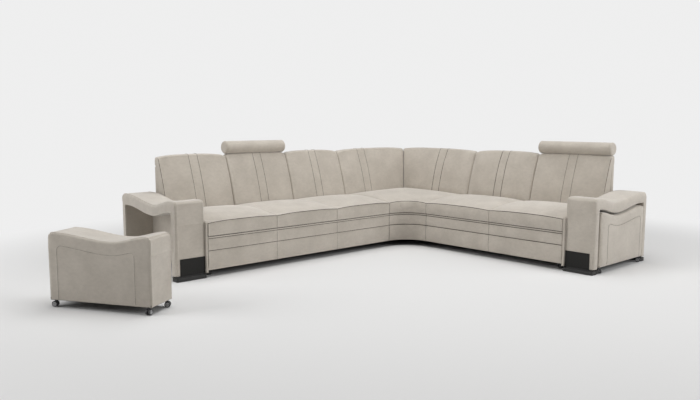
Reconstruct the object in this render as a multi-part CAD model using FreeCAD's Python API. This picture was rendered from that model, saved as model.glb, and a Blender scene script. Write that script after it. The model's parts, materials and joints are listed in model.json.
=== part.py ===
import FreeCAD, Part
import math
import os

# Corner sofa: a long wing of three seats, a corner seat and a short wing of two seats, two arms
# with an open bay under a wavy top, and a pouf on casters for each bay. Millimetres, +Z up.
# The origin is the middle of the underside of the foot in the rear corner. The long wing runs
# to -X and faces -Y, and the short wing runs to -Y and faces -X.

# Each wing is drawn in wing coordinates: u runs along the wing from the outer rear corner,
# d runs forward from the plane of the arms' rear ends, and z is height.
CORNER_FOOT = 140.0
CORNER = 1150.0
LONG_SEAT = 658.0
SHORT_SEAT = 717.0
LONG_SEATS = 3
SHORT_SEATS = 2
ARM_WIDTH = 250.0
ARM_DEPTH = 880.0
SIDE_PANEL = 14.0
LONG_ARM = CORNER + LONG_SEATS * LONG_SEAT
SHORT_ARM = CORNER + SHORT_SEATS * SHORT_SEAT

# Heights of the seat modules
BASE_BOTTOM = 56.0
RAIL_BOTTOM = 58.0
RAIL_TOP = 313.0
STRAP_TOP = 315.0
PANEL_SEAM = 205.0
PANEL_CREASE = 301.0
PANEL_TOP = 314.0
SEAT_BOTTOM = 316.0
PIPING = 420.0
SEAT_REAR = 452.0
SEAT_CREST = 468.0

# Depths of the seat modules
SEAT_FRONT = 909.0
SEAT_CROWN = 610.0
SEAT_HEEL = 300.0
RAIL_FRONT = 885.0
REAR_COVER = 104.0
COVER_THICK = 8.0
FRAME_REAR = REAR_COVER + COVER_THICK
FRAME_THICK = 36.0
FRAME_FRONT = FRAME_REAR + FRAME_THICK
BOARD = 18.0
TOP_RAIL = 80.0
BRACE_INSET = 10.0
STRAP_WIDTH = 60.0
STRAP_PLACES = (0.16, 0.33, 0.5, 0.67, 0.84)
STRAP_SPACING = 118.0
FIRST_CORNER_STRAP = 230.0
FOOT_RADIUS = 25.0
FOOT_SIDES = 16
PANEL_BELLY = 5.0
CUSHION_GAP = 0.5
SEAT_TOE = 10.0
SEAT_BELLY = 4.0

# Back cushions
BACK_BOTTOM = 317.0
BACK_FRONT = 296.0
BACK_CREASE = 452.0
BACK_SHOULDER = 168.0
BACK_RIDGE = 138.0
FRAME_TOP = 800.0
BACK_TOP = 900.0
SHOULDER_RADIUS = 36.0
BACK_BULGE = 14.0
BACK_TOE = 6.0
BROW = 9.0
BROW_RISE = 24.0
NAPE = 10.0
NAPE_RISE = 26.0
BACK_REST_GAP = 1.0
STRIP_SINK = 5.0
STRIP_HALF = 42.0
CORNER_STRIP_HALF = 57.0
LONG_CORNER_STRIP = 810.0
SHORT_CORNER_STRIP = 728.0
HEADREST_DROP = 12.0

# Arm: outer wave and bay
ARM_BOTTOM = 38.0
WAVE_HIGH = 592.0
WAVE_LOW = 543.0
BAY_REAR = 65.0
BAY_FRONT = 818.0
BAY_HIGH = 503.0
BAY_LOW = 457.0
BAY_CORNER = 8.0
INNER_WALL = 10.0
WAVE_REAR_CREST = 110.0
WAVE_DIP = 530.0
WAVE_FRONT_CREST = 790.0
ARM_RADIUS = 24.0
CORNER_STEPS = 3
WAVE_STEPS = 14
ARM_EDGE = 11.0
ARM_PADDING = 16.0
ARM_POST = 28.0
PLATE_TOP = 165.0
PLATE_INSET = 37.0
PLATE_THICK = 4.0
SIDE_PANEL_TOP = 425.0
SIDE_PANEL_FRONT = 893.0
SIDE_PANEL_EDGE = 4.0
FRAME_CLEARANCE = 4.0
FRAME_BOARD_BOTTOM = 60.0
FRAME_BOARD_TOP = 536.0
INNER_WALL_BOARD = 4.0
INNER_WALL_SKIN = 3.0

# Feet: slabs under the arm posts, given by their depths, and round ones at places (u, d)
SLAB_HEIGHT = 30.0
SLAB_CORNER = 12.0
SLAB_BLOCK_INSET = 18.0
FRONT_SLAB = (822.0, 902.0)
REAR_SLAB = (2.0, 68.0)
CORNER_FEET = [(CORNER_FOOT, CORNER_FOOT), (1060, CORNER_FOOT), (CORNER_FOOT, 1060), (700, 700)]
LONG_FEET = [(1240, CORNER_FOOT), (1240, 560), (2137, CORNER_FOOT), (2137, 560)]
LONG_FEET += [(3052, CORNER_FOOT), (3052, 798)]
SHORT_FEET = [(1240, CORNER_FOOT), (1240, 560), (2512, CORNER_FOOT), (2512, 798)]

# Bolts, by depth and height: between the corner and each wing, and from each wing to its arm
JOINT_BOLTS = [(300, 120), (700, 120), (300, 250), (700, 250)]
ARM_BOLTS = [(849, 130), (849, 260)]
BOLT_RADIUS = 4.0
HEAD_RADIUS = 7.0

# Pouf
POUF_REAR = 74.0
POUF_LENGTH = 735.0
POUF_WIDTH = 246.0
POUF_GAP = 4.0
POUF_BOTTOM = 49.5
POUF_HIGH = 484.0
POUF_LOW = 441.0
POUF_BOARD = 15.0
POUF_BOARD_INSET = 5.0
POUF_EDGE = 10.0
POUF_CORNER = 34.0
LEFT_POUF_PLACE = (-3866.0, -1064.0)
LEFT_POUF_TURN = 31.1

# Caster: a twin wheel on a hooded swivel housing
CASTER_INSET = 32.0
CASTER_TRAIL = 12.0
WHEEL_RADIUS = 19.0
WHEEL_SIDES = 24
WEB_HALF = 3.5
CHEEK = [(-20, 42), (-8, 19), (-5, 13), (0, 11), (5, 13), (8, 19), (2, 42)]
HOOD_RADIUS = 15.0
HOOD_BOTTOM = 41.0
HOOD_TOP = 48.7
WHEEL_INNER = 4.3
WHEEL_OUTER = 16.0
AXLE_RADIUS = 2.5
AXLE_PLAY = 0.05
STEM_RADIUS = 4.0
STEM_PLAY = 0.06
STEM_TOP = 62.0
STEM_BORE_TOP = 62.8

# Headrest
BOLSTER_RADIUS = 57.0
BOLSTER_DEPTH = 122.0
BOLSTER_HEIGHT = 947.0
BOLSTER_END = 15.0
BOLSTER_SIDES = 28
BAR_WIDTH = 24.0
BAR_THICK = 5.0
BAR_BOTTOM = 640.0
BAR_SPACING = 300.0
BAR_PLAY = 0.15
SOCKET_WALL = 3.0
SOCKET_BOTTOM = 722.0
CUSHION_SLOT_PLAY = 2.0

UP = FreeCAD.Vector(0, 0, 1)
HERE = FreeCAD.Vector(0, 0, 0)


def point(u, d, z):
    return FreeCAD.Vector(u, d, z)


# Points from a to b on the parabola through a middle point.
def bend(a, middle, b, parts):
    points = []
    for number in range(parts):
        t = number / parts
        points.append(a * ((1 - t) * (1 - 2 * t)) + middle * (4 * t * (1 - t)) + b * (t * (2 * t - 1)))
    return points


def closed(points):
    return Part.makePolygon(points + [points[0]])


# A padded form through a row of sections with as many points each, in small flat facets.
def padded_form(sections):
    faces = [Part.Face(closed(sections[0])), Part.Face(closed(sections[-1]))]
    for near, far in zip(sections, sections[1:]):
        for number in range(len(near)):
            following = (number + 1) % len(near)
            faces.append(Part.Face(closed([near[number], near[following], far[following]])))
            faces.append(Part.Face(closed([near[number], far[following], far[number]])))
    form = Part.makeSolid(Part.makeShell(faces)).removeSplitter()
    if form.Volume < 0:
        form.reverse()
    return form


# A prism with a regular outline, along an axis from one point, with one corner on the side
# that is named.
def prism(sides, radius, start, along, aside):
    across = along.cross(aside)
    across.normalize()
    corners = []
    for side in range(sides):
        angle = 2 * math.pi * side / sides
        corners.append(start + aside * (radius * math.cos(angle)) + across * (radius * math.sin(angle)))
    return Part.Face(closed(corners)).extrude(along)


def slab(u0, u1, d0, d1, z0, z1):
    return Part.makeBox(u1 - u0, d1 - d0, z1 - z0, point(u0, d0, z0))


def post(u, d, radius, z0, z1):
    return Part.makeCylinder(radius, z1 - z0, point(u, d, z0), UP)


# Wing coordinates become the part's own by a half turn. The short wing is first mirrored
# across the diagonal of the corner, which swaps u and d.
def on_long_wing(shape):
    placed = shape.copy()
    placed.rotate(HERE, UP, 180)
    placed.translate(FreeCAD.Vector(CORNER_FOOT, CORNER_FOOT, 0))
    return placed


def swap_wing(shape):
    return shape.mirror(HERE, FreeCAD.Vector(1, -1, 0))


def on_short_wing(shape):
    return on_long_wing(swap_wing(shape))


def save(name, *shapes):
    solids = []
    for shape in shapes:
        solids.extend(shape.Solids)
    for solid in solids:
        if not solid.isValid():
            print("not valid:", name)
    whole = solids[0] if len(solids) == 1 else Part.makeCompound(solids)
    whole.exportStep("parts/" + name + ".step")


# Seat cushion: a crowned loft along the wing. A station gives its place, how far the front
# and ends are drawn in, and how much the crown lifts there.
def seat_station(place, draw_in, lift):
    front = SEAT_FRONT - draw_in
    heel = place(SEAT_HEEL, SEAT_BOTTOM)
    toe = place(front - SEAT_TOE, SEAT_BOTTOM)
    piping = place(front, PIPING + 0.5 * lift)
    crest = place(SEAT_CROWN, SEAT_CREST + lift)
    rear = place(SEAT_HEEL, SEAT_REAR + 0.6 * lift)
    belly = place(front + SEAT_BELLY, 0.5 * (SEAT_BOTTOM + PIPING))
    return [heel] + bend(toe, belly, piping, 2) + bend(piping, crest, rear, 6) + [rear]


def straight(u):
    return lambda d, z: point(u, d, z)


def seat_cushion(u0, u1):
    swell = [(0, 5, -7), (18, 2, 1), (60, 0, 7), (150, 0, 13)]
    stations = [(u0 + step, draw_in, lift) for step, draw_in, lift in swell]
    stations.append((0.5 * (u0 + u1), 0, 16))
    stations += [(u1 - step, draw_in, lift) for step, draw_in, lift in reversed(swell)]
    return padded_form([seat_station(straight(u), draw_in, lift) for u, draw_in, lift in stations])


# The corner seat is swept by stations that fan out from the centre of its concave front.
def fan(angle):
    sine = math.sin(math.radians(angle))
    cosine = math.cos(math.radians(angle))
    near = CORNER - SEAT_FRONT
    far = (CORNER - SEAT_HEEL) / cosine

    def place(d, z):
        reach = near + (far - near) * (SEAT_FRONT - d) / (SEAT_FRONT - SEAT_HEEL)
        return point(CORNER - reach * sine, CORNER - reach * cosine, z)

    return place


def corner_seat():
    stations = [(0, 5, -7), (3, 1, 2), (12, 0, 10), (23, 0, 14), (34, 0, 16), (45, 0, 16)]
    half = padded_form([seat_station(fan(angle), draw_in, lift) for angle, draw_in, lift in stations])
    return half.fuse(swap_wing(half))


# Front panel under the seats: a wide lower field, an upper field and a narrow one, each
# slightly proud between its sewn lines.
def panel_station(place, draw_in):
    crease = SEAT_FRONT - PANEL_BELLY - draw_in
    rear_low = place(RAIL_FRONT, BASE_BOTTOM)
    front_low = place(crease - 1, BASE_BOTTOM)
    seam = place(crease, PANEL_SEAM)
    upper = place(crease, PANEL_CREASE)
    top = place(crease - 1, PANEL_TOP)
    rear_top = place(RAIL_FRONT, PANEL_TOP)
    low_belly = place(crease + PANEL_BELLY, 0.5 * (BASE_BOTTOM + PANEL_SEAM))
    high_belly = place(crease + 0.8 * PANEL_BELLY, 0.5 * (PANEL_SEAM + PANEL_CREASE))
    front = bend(front_low, low_belly, seam, 4) + bend(seam, high_belly, upper, 2)
    return [rear_low] + front + [upper, top, rear_top]


def front_panel_field(u0, u1):
    stations = [(u0, 4), (u0 + 30, 0), (u1 - 30, 0), (u1, 4)]
    return padded_form([panel_station(straight(u), draw_in) for u, draw_in in stations])


def front_panel(first, width, count, last_trim):
    fields = []
    for seat in range(count):
        u0 = first + seat * width
        trim = last_trim if seat == count - 1 else 0
        fields.append(front_panel_field(u0, u0 + width - trim))
    panel = fields[0]
    for field in fields[1:]:
        panel = panel.fuse(field)
    return panel


def round_the_corner(angle):
    sine = math.sin(math.radians(angle))
    cosine = math.cos(math.radians(angle))
    return lambda d, z: point(CORNER - (CORNER - d) * sine, CORNER - (CORNER - d) * cosine, z)


def corner_front_panel():
    return padded_form([panel_station(round_the_corner(angle), 4) for angle in range(0, 91, 10)])


# Back cushion: its foot stands behind the seat, its front leans back and its top wraps over
# the frame. Two sewn lines draw a narrow strip into its face.
def back_station(place, draw_in, drop):
    front = BACK_FRONT - draw_in
    shoulder = BACK_SHOULDER - 0.3 * draw_in
    top = BACK_TOP - drop
    side = top - SHOULDER_RADIUS
    rest = FRAME_FRONT + BACK_REST_GAP
    heel = place(rest, BACK_BOTTOM)
    toe = place(front - BACK_TOE, BACK_BOTTOM)
    crease = place(front, BACK_CREASE)
    lean = place(0.5 * (front + shoulder) + BACK_BULGE - 0.6 * draw_in, 0.5 * (BACK_CREASE + side))
    brow = place(shoulder, side)
    brow_arc = place(shoulder - BROW, side + BROW_RISE)
    ridge = place(BACK_RIDGE, top)
    nape_arc = place(REAR_COVER + NAPE, side + NAPE_RISE)
    nape = place(REAR_COVER, side)
    lip = place(REAR_COVER, FRAME_TOP + BACK_REST_GAP)
    step = place(rest, FRAME_TOP + BACK_REST_GAP)
    front = bend(crease, lean, brow, 4) + bend(brow, brow_arc, ridge, 3)
    return [heel, toe] + front + bend(ridge, nape_arc, nape, 3) + [nape, lip, step]


def skewed(u0, skew):
    return lambda d, z: point(u0 + skew * d, d, z)


def back_loft(stations):
    return padded_form([back_station(skewed(u, skew), draw_in, drop) for u, skew, draw_in, drop in stations])


def strip_of_back(centre, half, drop):
    left = (centre - half, 0, STRIP_SINK, drop + 2)
    middle = (centre, 0, 0.4 * STRIP_SINK, drop)
    right = (centre + half, 0, STRIP_SINK, drop + 2)
    return back_loft([left, middle, right])


def back_cushion(u0, u1, drop):
    centre = 0.5 * (u0 + u1)
    left = centre - STRIP_HALF
    right = centre + STRIP_HALF
    rise = drop + 2
    end = 0.5 * drop + 24
    swell = [(0, 14, end), (14, 7, 0.6 * drop + 15), (50, 2, drop + 5), (150, 0, drop)]
    panel_a = [(u0 + step, 0, draw_in, lower) for step, draw_in, lower in swell]
    panel_a.append((left, 0, STRIP_SINK, rise))
    panel_b = [(right, 0, STRIP_SINK, rise)]
    panel_b += [(u1 - step, 0, draw_in, lower) for step, draw_in, lower in reversed(swell)]
    return strip_of_back(centre, STRIP_HALF, drop).fuse([back_loft(panel_a), back_loft(panel_b)])


# The two cushions of the corner meet on the diagonal, so their stations turn towards it.
def corner_back_cushion(centre):
    left = centre - CORNER_STRIP_HALF
    right = centre + CORNER_STRIP_HALF
    rest = CORNER - CUSHION_GAP
    turning = [(CUSHION_GAP, 1, 12, 22), (30, 1, 6, 13), (110, 0.8, 2, 5)]
    turning += [(left - 200, 0.35, 0, 0), (left, 0, STRIP_SINK, 2)]
    square = [(right, 0, STRIP_SINK, 2), (rest - 150, 0, 0, 0), (rest - 50, 0, 2, 5)]
    square += [(rest - 14, 0, 7, 15), (rest, 0, 14, 24)]
    return strip_of_back(centre, CORNER_STRIP_HALF, 0).fuse([back_loft(turning), back_loft(square)])


def bar_places(u0, u1):
    centre = 0.5 * (u0 + u1)
    half = 0.5 * BAR_SPACING
    return [centre - half, centre + half]


def headrest_back_cushion(u0, u1):
    cushion = back_cushion(u0, u1, HEADREST_DROP)
    for u in bar_places(u0, u1):
        cushion = cushion.cut(bar_shape(u, CUSHION_SLOT_PLAY, FRAME_TOP - 20, BACK_TOP + 10))
    return cushion


# A flat bar of the headrest, or the space round it, grown by a margin on all four sides.
def bar_shape(u, margin, z0, z1):
    wide = 0.5 * BAR_WIDTH + margin
    thin = 0.5 * BAR_THICK + margin
    return slab(u - wide, u + wide, BOLSTER_DEPTH - thin, BOLSTER_DEPTH + thin, z0, z1)


# Headrest: a round bolster with soft ends on two flat steel bars.
def bolster_ring(u, radius):
    ring = []
    for side in range(BOLSTER_SIDES):
        angle = 2 * math.pi * side / BOLSTER_SIDES
        ahead = radius * math.cos(angle)
        ring.append(point(u, BOLSTER_DEPTH + ahead, BOLSTER_HEIGHT + radius * math.sin(angle)))
    return ring


def bolster(u0, u1):
    near = []
    far = []
    for step in range(4):
        turn = math.radians(30 * step)
        inset = BOLSTER_END * (1 - math.cos(turn))
        radius = BOLSTER_RADIUS - BOLSTER_END * (1 - math.sin(turn))
        near.append(bolster_ring(u0 + inset, radius))
        far.append(bolster_ring(u1 - inset, radius))
    return padded_form(near + far[::-1])


def headrest_bars(places):
    return [bar_shape(u, 0, BAR_BOTTOM, BOLSTER_HEIGHT - 10) for u in places]


def headrest_bolster(u0, u1, places):
    body = bolster(u0, u1)
    for bar in headrest_bars(places):
        body = body.cut(bar)
    return body


def headrest_sockets(places):
    sockets = []
    for u in places:
        sleeve = bar_shape(u, SOCKET_WALL, SOCKET_BOTTOM, FRAME_TOP)
        sockets.append(sleeve.cut(bar_shape(u, BAR_PLAY, SOCKET_BOTTOM - 1, FRAME_TOP + 1)))
    return sockets


# Timber frame of a straight wing: rails, cross boards, uprights and a top rail.
def wing_frame(first, width, count, last, socket_places):
    boards = []
    boards.append(slab(first, last, RAIL_FRONT - BOARD, RAIL_FRONT, RAIL_BOTTOM, RAIL_TOP))
    boards.append(slab(first, last, FRAME_REAR, FRAME_FRONT, RAIL_BOTTOM, RAIL_TOP))
    top_rail = slab(first, last, FRAME_REAR, FRAME_FRONT, FRAME_TOP - TOP_RAIL, FRAME_TOP)
    for u in socket_places:
        top_rail = top_rail.cut(bar_shape(u, SOCKET_WALL, FRAME_TOP - 100, FRAME_TOP + 10))
    boards.append(top_rail)
    for seat in range(count + 1):
        u = first + seat * width - 0.5 * BOARD
        u = min(max(u, first), last - BOARD)
        boards.append(slab(u, u + BOARD, FRAME_FRONT, RAIL_FRONT - BOARD, RAIL_BOTTOM, RAIL_TOP))
        foot = min(max(u - BOARD, first), last - 3 * BOARD)
        boards.append(slab(foot, foot + 3 * BOARD, FRAME_REAR, FRAME_FRONT, RAIL_TOP, FRAME_TOP - TOP_RAIL))
    return boards


def corner_frame():
    boards = []
    inner = CORNER - BOARD
    rail_end = RAIL_FRONT - BOARD
    below_rail = FRAME_TOP - TOP_RAIL
    for z0, z1 in ((RAIL_BOTTOM, RAIL_TOP), (below_rail, FRAME_TOP)):
        boards.append(slab(FRAME_REAR, CORNER, FRAME_REAR, FRAME_FRONT, z0, z1))
        boards.append(slab(FRAME_REAR, FRAME_FRONT, FRAME_FRONT, CORNER, z0, z1))
    boards.append(slab(inner, CORNER, FRAME_FRONT, rail_end, RAIL_BOTTOM, RAIL_TOP))
    boards.append(slab(FRAME_FRONT, rail_end, inner, CORNER, RAIL_BOTTOM, RAIL_TOP))
    boards.append(slab(FRAME_REAR, FRAME_FRONT, FRAME_REAR, FRAME_FRONT, RAIL_TOP, below_rail))
    upright = 3 * BOARD
    boards.append(slab(CORNER - upright, CORNER, FRAME_REAR, FRAME_FRONT, RAIL_TOP, below_rail))
    boards.append(slab(FRAME_REAR, FRAME_FRONT, CORNER - upright, CORNER, RAIL_TOP, below_rail))
    near = CORNER - RAIL_FRONT
    outline = [
        point(CORNER, CORNER - near, RAIL_BOTTOM),
        point(CORNER, CORNER - near - BOARD, RAIL_BOTTOM),
        point(CORNER, CORNER - near - BOARD, RAIL_TOP),
        point(CORNER, CORNER - near, RAIL_TOP),
    ]
    outline.append(outline[0])
    curved = Part.Face(Part.makePolygon(outline)).revolve(point(CORNER, CORNER, 0), UP, -90)
    boards.append(curved)
    reach = math.sqrt(2) * (CORNER - FRAME_FRONT) - near - BOARD - 2 * BRACE_INSET
    brace = Part.makeBox(reach, BOARD, RAIL_TOP - RAIL_BOTTOM, point(0, -0.5 * BOARD, RAIL_BOTTOM))
    brace.rotate(HERE, UP, 45)
    brace.translate(point(FRAME_FRONT + BRACE_INSET, FRAME_FRONT + BRACE_INSET, 0))
    boards.append(brace)
    return boards


# Elastic straps across the frames carry the cushions.
def wing_straps(first, width, count, last):
    straps = []
    half = 0.5 * STRAP_WIDTH
    for seat in range(count):
        for place in STRAP_PLACES:
            u = first + (seat + place) * width
            if u + half < last:
                straps.append(slab(u - half, u + half, FRAME_REAR, RAIL_FRONT, RAIL_TOP, STRAP_TOP))
    return straps


def corner_straps():
    straps = []
    half = 0.5 * STRAP_WIDTH
    near = CORNER - RAIL_FRONT + BOARD
    for number in range(8):
        u = FIRST_CORNER_STRAP + number * STRAP_SPACING
        aside = CORNER - u - half
        if aside < near:
            front = CORNER - math.sqrt(near ** 2 - aside ** 2)
        else:
            front = CORNER
        straps.append(slab(u - half, u + half, FRAME_REAR, front, RAIL_TOP, STRAP_TOP))
    return straps


# Rear covers: padded board behind the back, turned in at the end that stands above the arm.
def wing_rear_cover(first, last):
    cover = slab(first, last, REAR_COVER, FRAME_REAR, BASE_BOTTOM, FRAME_TOP)
    end = slab(last - COVER_THICK, last, FRAME_REAR, FRAME_FRONT, STRAP_TOP, FRAME_TOP)
    cover = cover.fuse(end).removeSplitter()
    edges = [edge for edge in cover.Edges if is_rear_rim(edge, last)]
    return cover.makeFillet(3, edges)


def is_rear_rim(edge, last):
    low = edge.BoundBox
    flat = abs(low.YMin - REAR_COVER) < 0.01 and abs(low.YMax - REAR_COVER) < 0.01
    return flat and abs(low.XMax - last) < 0.01 and low.ZLength > 10


def corner_rear_cover():
    outline = [
        point(REAR_COVER, REAR_COVER, BASE_BOTTOM),
        point(CORNER, REAR_COVER, BASE_BOTTOM),
        point(CORNER, FRAME_REAR, BASE_BOTTOM),
        point(FRAME_REAR, FRAME_REAR, BASE_BOTTOM),
    ]
    outline.append(outline[0])
    half = Part.Face(Part.makePolygon(outline)).extrude(point(0, 0, FRAME_TOP - BASE_BOTTOM))
    return [half, swap_wing(half)]


# Dust covers close the underside.
def dust_covers():
    thick = RAIL_BOTTOM - BASE_BOTTOM
    long_part = slab(CORNER, LONG_ARM - SIDE_PANEL, FRAME_REAR, RAIL_FRONT, BASE_BOTTOM, RAIL_BOTTOM)
    short_part = slab(CORNER, SHORT_ARM - SIDE_PANEL, FRAME_REAR, RAIL_FRONT, BASE_BOTTOM, RAIL_BOTTOM)
    corner_part = slab(FRAME_REAR, CORNER, FRAME_REAR, CORNER, BASE_BOTTOM, RAIL_BOTTOM)
    hollow = Part.makeCylinder(CORNER - RAIL_FRONT, thick, point(CORNER, CORNER, BASE_BOTTOM), UP)
    return on_long_wing(long_part), on_long_wing(corner_part.cut(hollow)), on_short_wing(short_part)


# The wave is level at the rear, falls to the dip and rises to the front, like a drawn cosine.
def wave_height(d, crest, high, low):
    if d < WAVE_DIP:
        share = (d - WAVE_REAR_CREST) / (WAVE_DIP - WAVE_REAR_CREST)
    else:
        share = (crest - d) / (crest - WAVE_DIP)
    share = min(max(share, 0), 1)
    return high - (high - low) * 0.5 * (1 - math.cos(math.pi * share))


# Side outline of an arm, a bay or a pouf: up the rear, over the wave and down the front. The
# inset draws the whole outline in, except at its foot.
def outline(u, inset, rear, front, bottom, high, low, radius):
    back = rear + radius
    face = front - radius
    crest = min(WAVE_FRONT_CREST, face)
    points = [point(u, rear + inset, bottom)]
    for step in range(CORNER_STEPS + 1):
        turn = 0.5 * math.pi * step / CORNER_STEPS
        reach = radius - inset
        points.append(point(u, back - reach * math.cos(turn), high - radius + reach * math.sin(turn)))
    for step in range(1, WAVE_STEPS):
        d = WAVE_REAR_CREST + (crest - WAVE_REAR_CREST) * step / WAVE_STEPS
        points.append(point(u, d, wave_height(d, crest, high, low) - inset))
    for step in range(CORNER_STEPS + 1):
        turn = 0.5 * math.pi * step / CORNER_STEPS
        reach = radius - inset
        points.append(point(u, face + reach * math.sin(turn), high - radius + reach * math.cos(turn)))
    points.append(point(u, front - inset, bottom))
    return points


# A padded block between two such outlines, whose rims are rounded by drawing its ends in.
def wavy_block(u0, u1, edge, shape):
    drawn = [(0, edge), (0.29 * edge, 0.29 * edge), (edge, 0)]
    sections = [outline(u0 + step, inset, *shape) for step, inset in drawn]
    sections += [outline(u1 - step, inset, *shape) for step, inset in reversed(drawn)]
    return padded_form(sections)


# Board frame sealed inside the arm: two posts, a top board and a thin inner wall.
def arm_frame(u0):
    inner = u0 + ARM_PADDING
    outer = u0 + ARM_WIDTH - ARM_PADDING
    rear = ARM_PADDING
    front = ARM_DEPTH - ARM_PADDING
    bottom = FRAME_BOARD_BOTTOM
    top = FRAME_BOARD_TOP
    front_post = slab(inner, outer, front - ARM_POST, front, bottom, top)
    rear_post = slab(inner, outer, rear, rear + ARM_POST, bottom, top)
    top_board = slab(inner, outer, rear + ARM_POST, front - ARM_POST, top - ARM_POST, top)
    near = u0 + INNER_WALL_SKIN
    far = near + INNER_WALL_BOARD
    wall = slab(near, far, rear + ARM_POST, front - ARM_POST, bottom, BAY_HIGH - INNER_WALL_SKIN)
    return [front_post, rear_post, top_board, wall]


def arm_cover(u0):
    u1 = u0 + ARM_WIDTH
    block = wavy_block(u0, u1, ARM_EDGE, (0, ARM_DEPTH, ARM_BOTTOM, WAVE_HIGH, WAVE_LOW, ARM_RADIUS))
    below = ARM_BOTTOM - 1
    bay = outline(u0 + INNER_WALL, 0, BAY_REAR, BAY_FRONT, below, BAY_HIGH, BAY_LOW, BAY_CORNER)
    cover = block.cut(Part.Face(closed(bay)).extrude(point(ARM_WIDTH, 0, 0)))
    return cover.cut(Part.makeCompound(arm_frame(u0)))


def arm_plate(u0):
    face = ARM_DEPTH
    plate = slab(u0, u0 + ARM_WIDTH - PLATE_INSET, face, face + PLATE_THICK, ARM_BOTTOM, PLATE_TOP)
    rim = [edge for edge in plate.Edges if abs(edge.BoundBox.YMin - face - PLATE_THICK) < 0.01]
    return plate.makeChamfer(0.8, rim)


# The narrow panel beside the seats is cut away at its upper rear, where the back cushion stands.
def side_panel(u0):
    inner = u0 - SIDE_PANEL
    panel = slab(inner, u0, FRAME_FRONT + FRAME_CLEARANCE, SIDE_PANEL_FRONT, ARM_BOTTOM, SIDE_PANEL_TOP)
    rim = [edge for edge in panel.Edges if edge.BoundBox.YMin > SIDE_PANEL_FRONT - 0.01]
    uprights = [edge for edge in rim if edge.BoundBox.ZLength > 100]
    panel = panel.makeFillet(SIDE_PANEL_EDGE, uprights)
    notch_front = BACK_FRONT + FRAME_CLEARANCE
    notch = slab(inner - 1, u0 + 1, FRAME_FRONT, notch_front, STRAP_TOP, SIDE_PANEL_TOP + 1)
    return panel.cut(notch)


# Under each arm post stands a black slab foot with rounded ends and a set-back block on it.
def slab_foot(u0, d0, d1):
    u1 = u0 + ARM_WIDTH
    base = slab(u0, u1, d0, d1, 0, SLAB_HEIGHT)
    uprights = [edge for edge in base.Edges if edge.BoundBox.ZLength > SLAB_HEIGHT - 1]
    base = base.makeFillet(SLAB_CORNER, uprights)
    side = SLAB_BLOCK_INSET
    block = slab(u0 + side, u1 - side, d0 + side, d1 - side, SLAB_HEIGHT, ARM_BOTTOM)
    return base.fuse(block)


def arm_feet(u0):
    return [slab_foot(u0, *depths) for depths in (FRONT_SLAB, REAR_SLAB)]


def small_feet():
    def foot(u, d):
        return prism(FOOT_SIDES, FOOT_RADIUS, point(u, d, 0), point(0, 0, BASE_BOTTOM), point(1, 0, 0))

    feet = [on_long_wing(foot(u, d)) for u, d in CORNER_FEET + LONG_FEET]
    return feet + [on_short_wing(foot(u, d)) for u, d in SHORT_FEET]


# A bolt runs along the wing, with a hexagonal head at one end and a nut at the other.
HEAD_HEIGHT = 5.0
NUT_HEIGHT = 6.0


def hexagon(u0, u1, d, z):
    return prism(6, HEAD_RADIUS, point(u0, d, z), point(u1 - u0, 0, 0), point(0, 0, 1))


def shank(u0, u1, d, z):
    return prism(8, BOLT_RADIUS, point(u0, d, z), point(u1 - u0, 0, 0), point(0, 0, 1))


def bolt(u0, u1, d, z):
    head = hexagon(u0 - HEAD_HEIGHT, u0, d, z)
    nut = hexagon(u1, u1 + NUT_HEIGHT, d, z)
    return shank(u0, u1, d, z).fuse([head, nut])


def joint_bolts():
    return [bolt(CORNER - BOARD, CORNER + BOARD, d, z) for d, z in JOINT_BOLTS]


def joint_holes():
    return Part.makeCompound([shank(CORNER - 30, CORNER + 30, d, z) for d, z in JOINT_BOLTS])


# The arm bolts start inside the wing's end board and end in a nut inside the arm's post.
def arm_bolts(u0):
    start = u0 - SIDE_PANEL - BOARD
    return [bolt(start, u0 + 60, d, z) for d, z in ARM_BOLTS]


# Pouf in its stowed place: a padded block with the bay's wave on top, on a plywood board.
def pouf_span(u0):
    start = u0 + INNER_WALL + POUF_GAP
    return start, start + POUF_WIDTH


def caster_places(u0):
    inner, outer = pouf_span(u0)
    rear = POUF_REAR + CASTER_INSET
    front = POUF_REAR + POUF_LENGTH - CASTER_INSET
    return {
        "outer_front": (outer - CASTER_INSET, front),
        "outer_rear": (outer - CASTER_INSET, rear),
        "inner_front": (inner + CASTER_INSET, front),
        "inner_rear": (inner + CASTER_INSET, rear),
    }


def pouf_board(u0):
    inner, outer = pouf_span(u0)
    rear = POUF_REAR + POUF_BOARD_INSET
    front = POUF_REAR + POUF_LENGTH - POUF_BOARD_INSET
    top = POUF_BOTTOM + POUF_BOARD
    board = slab(inner + POUF_BOARD_INSET, outer - POUF_BOARD_INSET, rear, front, POUF_BOTTOM, top)
    for u, d in caster_places(u0).values():
        board = board.cut(post(u, d, STEM_RADIUS + STEM_PLAY, POUF_BOTTOM - 1, STEM_BORE_TOP))
    return board


def pouf_cover(u0):
    inner, outer = pouf_span(u0)
    front = POUF_REAR + POUF_LENGTH
    shape = (POUF_REAR, front, POUF_BOTTOM, POUF_HIGH, POUF_LOW, POUF_CORNER)
    block = wavy_block(inner, outer, POUF_EDGE, shape)
    rear = POUF_REAR + POUF_BOARD_INSET
    front = front - POUF_BOARD_INSET
    top = POUF_BOTTOM + POUF_BOARD
    recess = slab(inner + POUF_BOARD_INSET, outer - POUF_BOARD_INSET, rear, front, POUF_BOTTOM - 1, top)
    return block.cut(recess)


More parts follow.
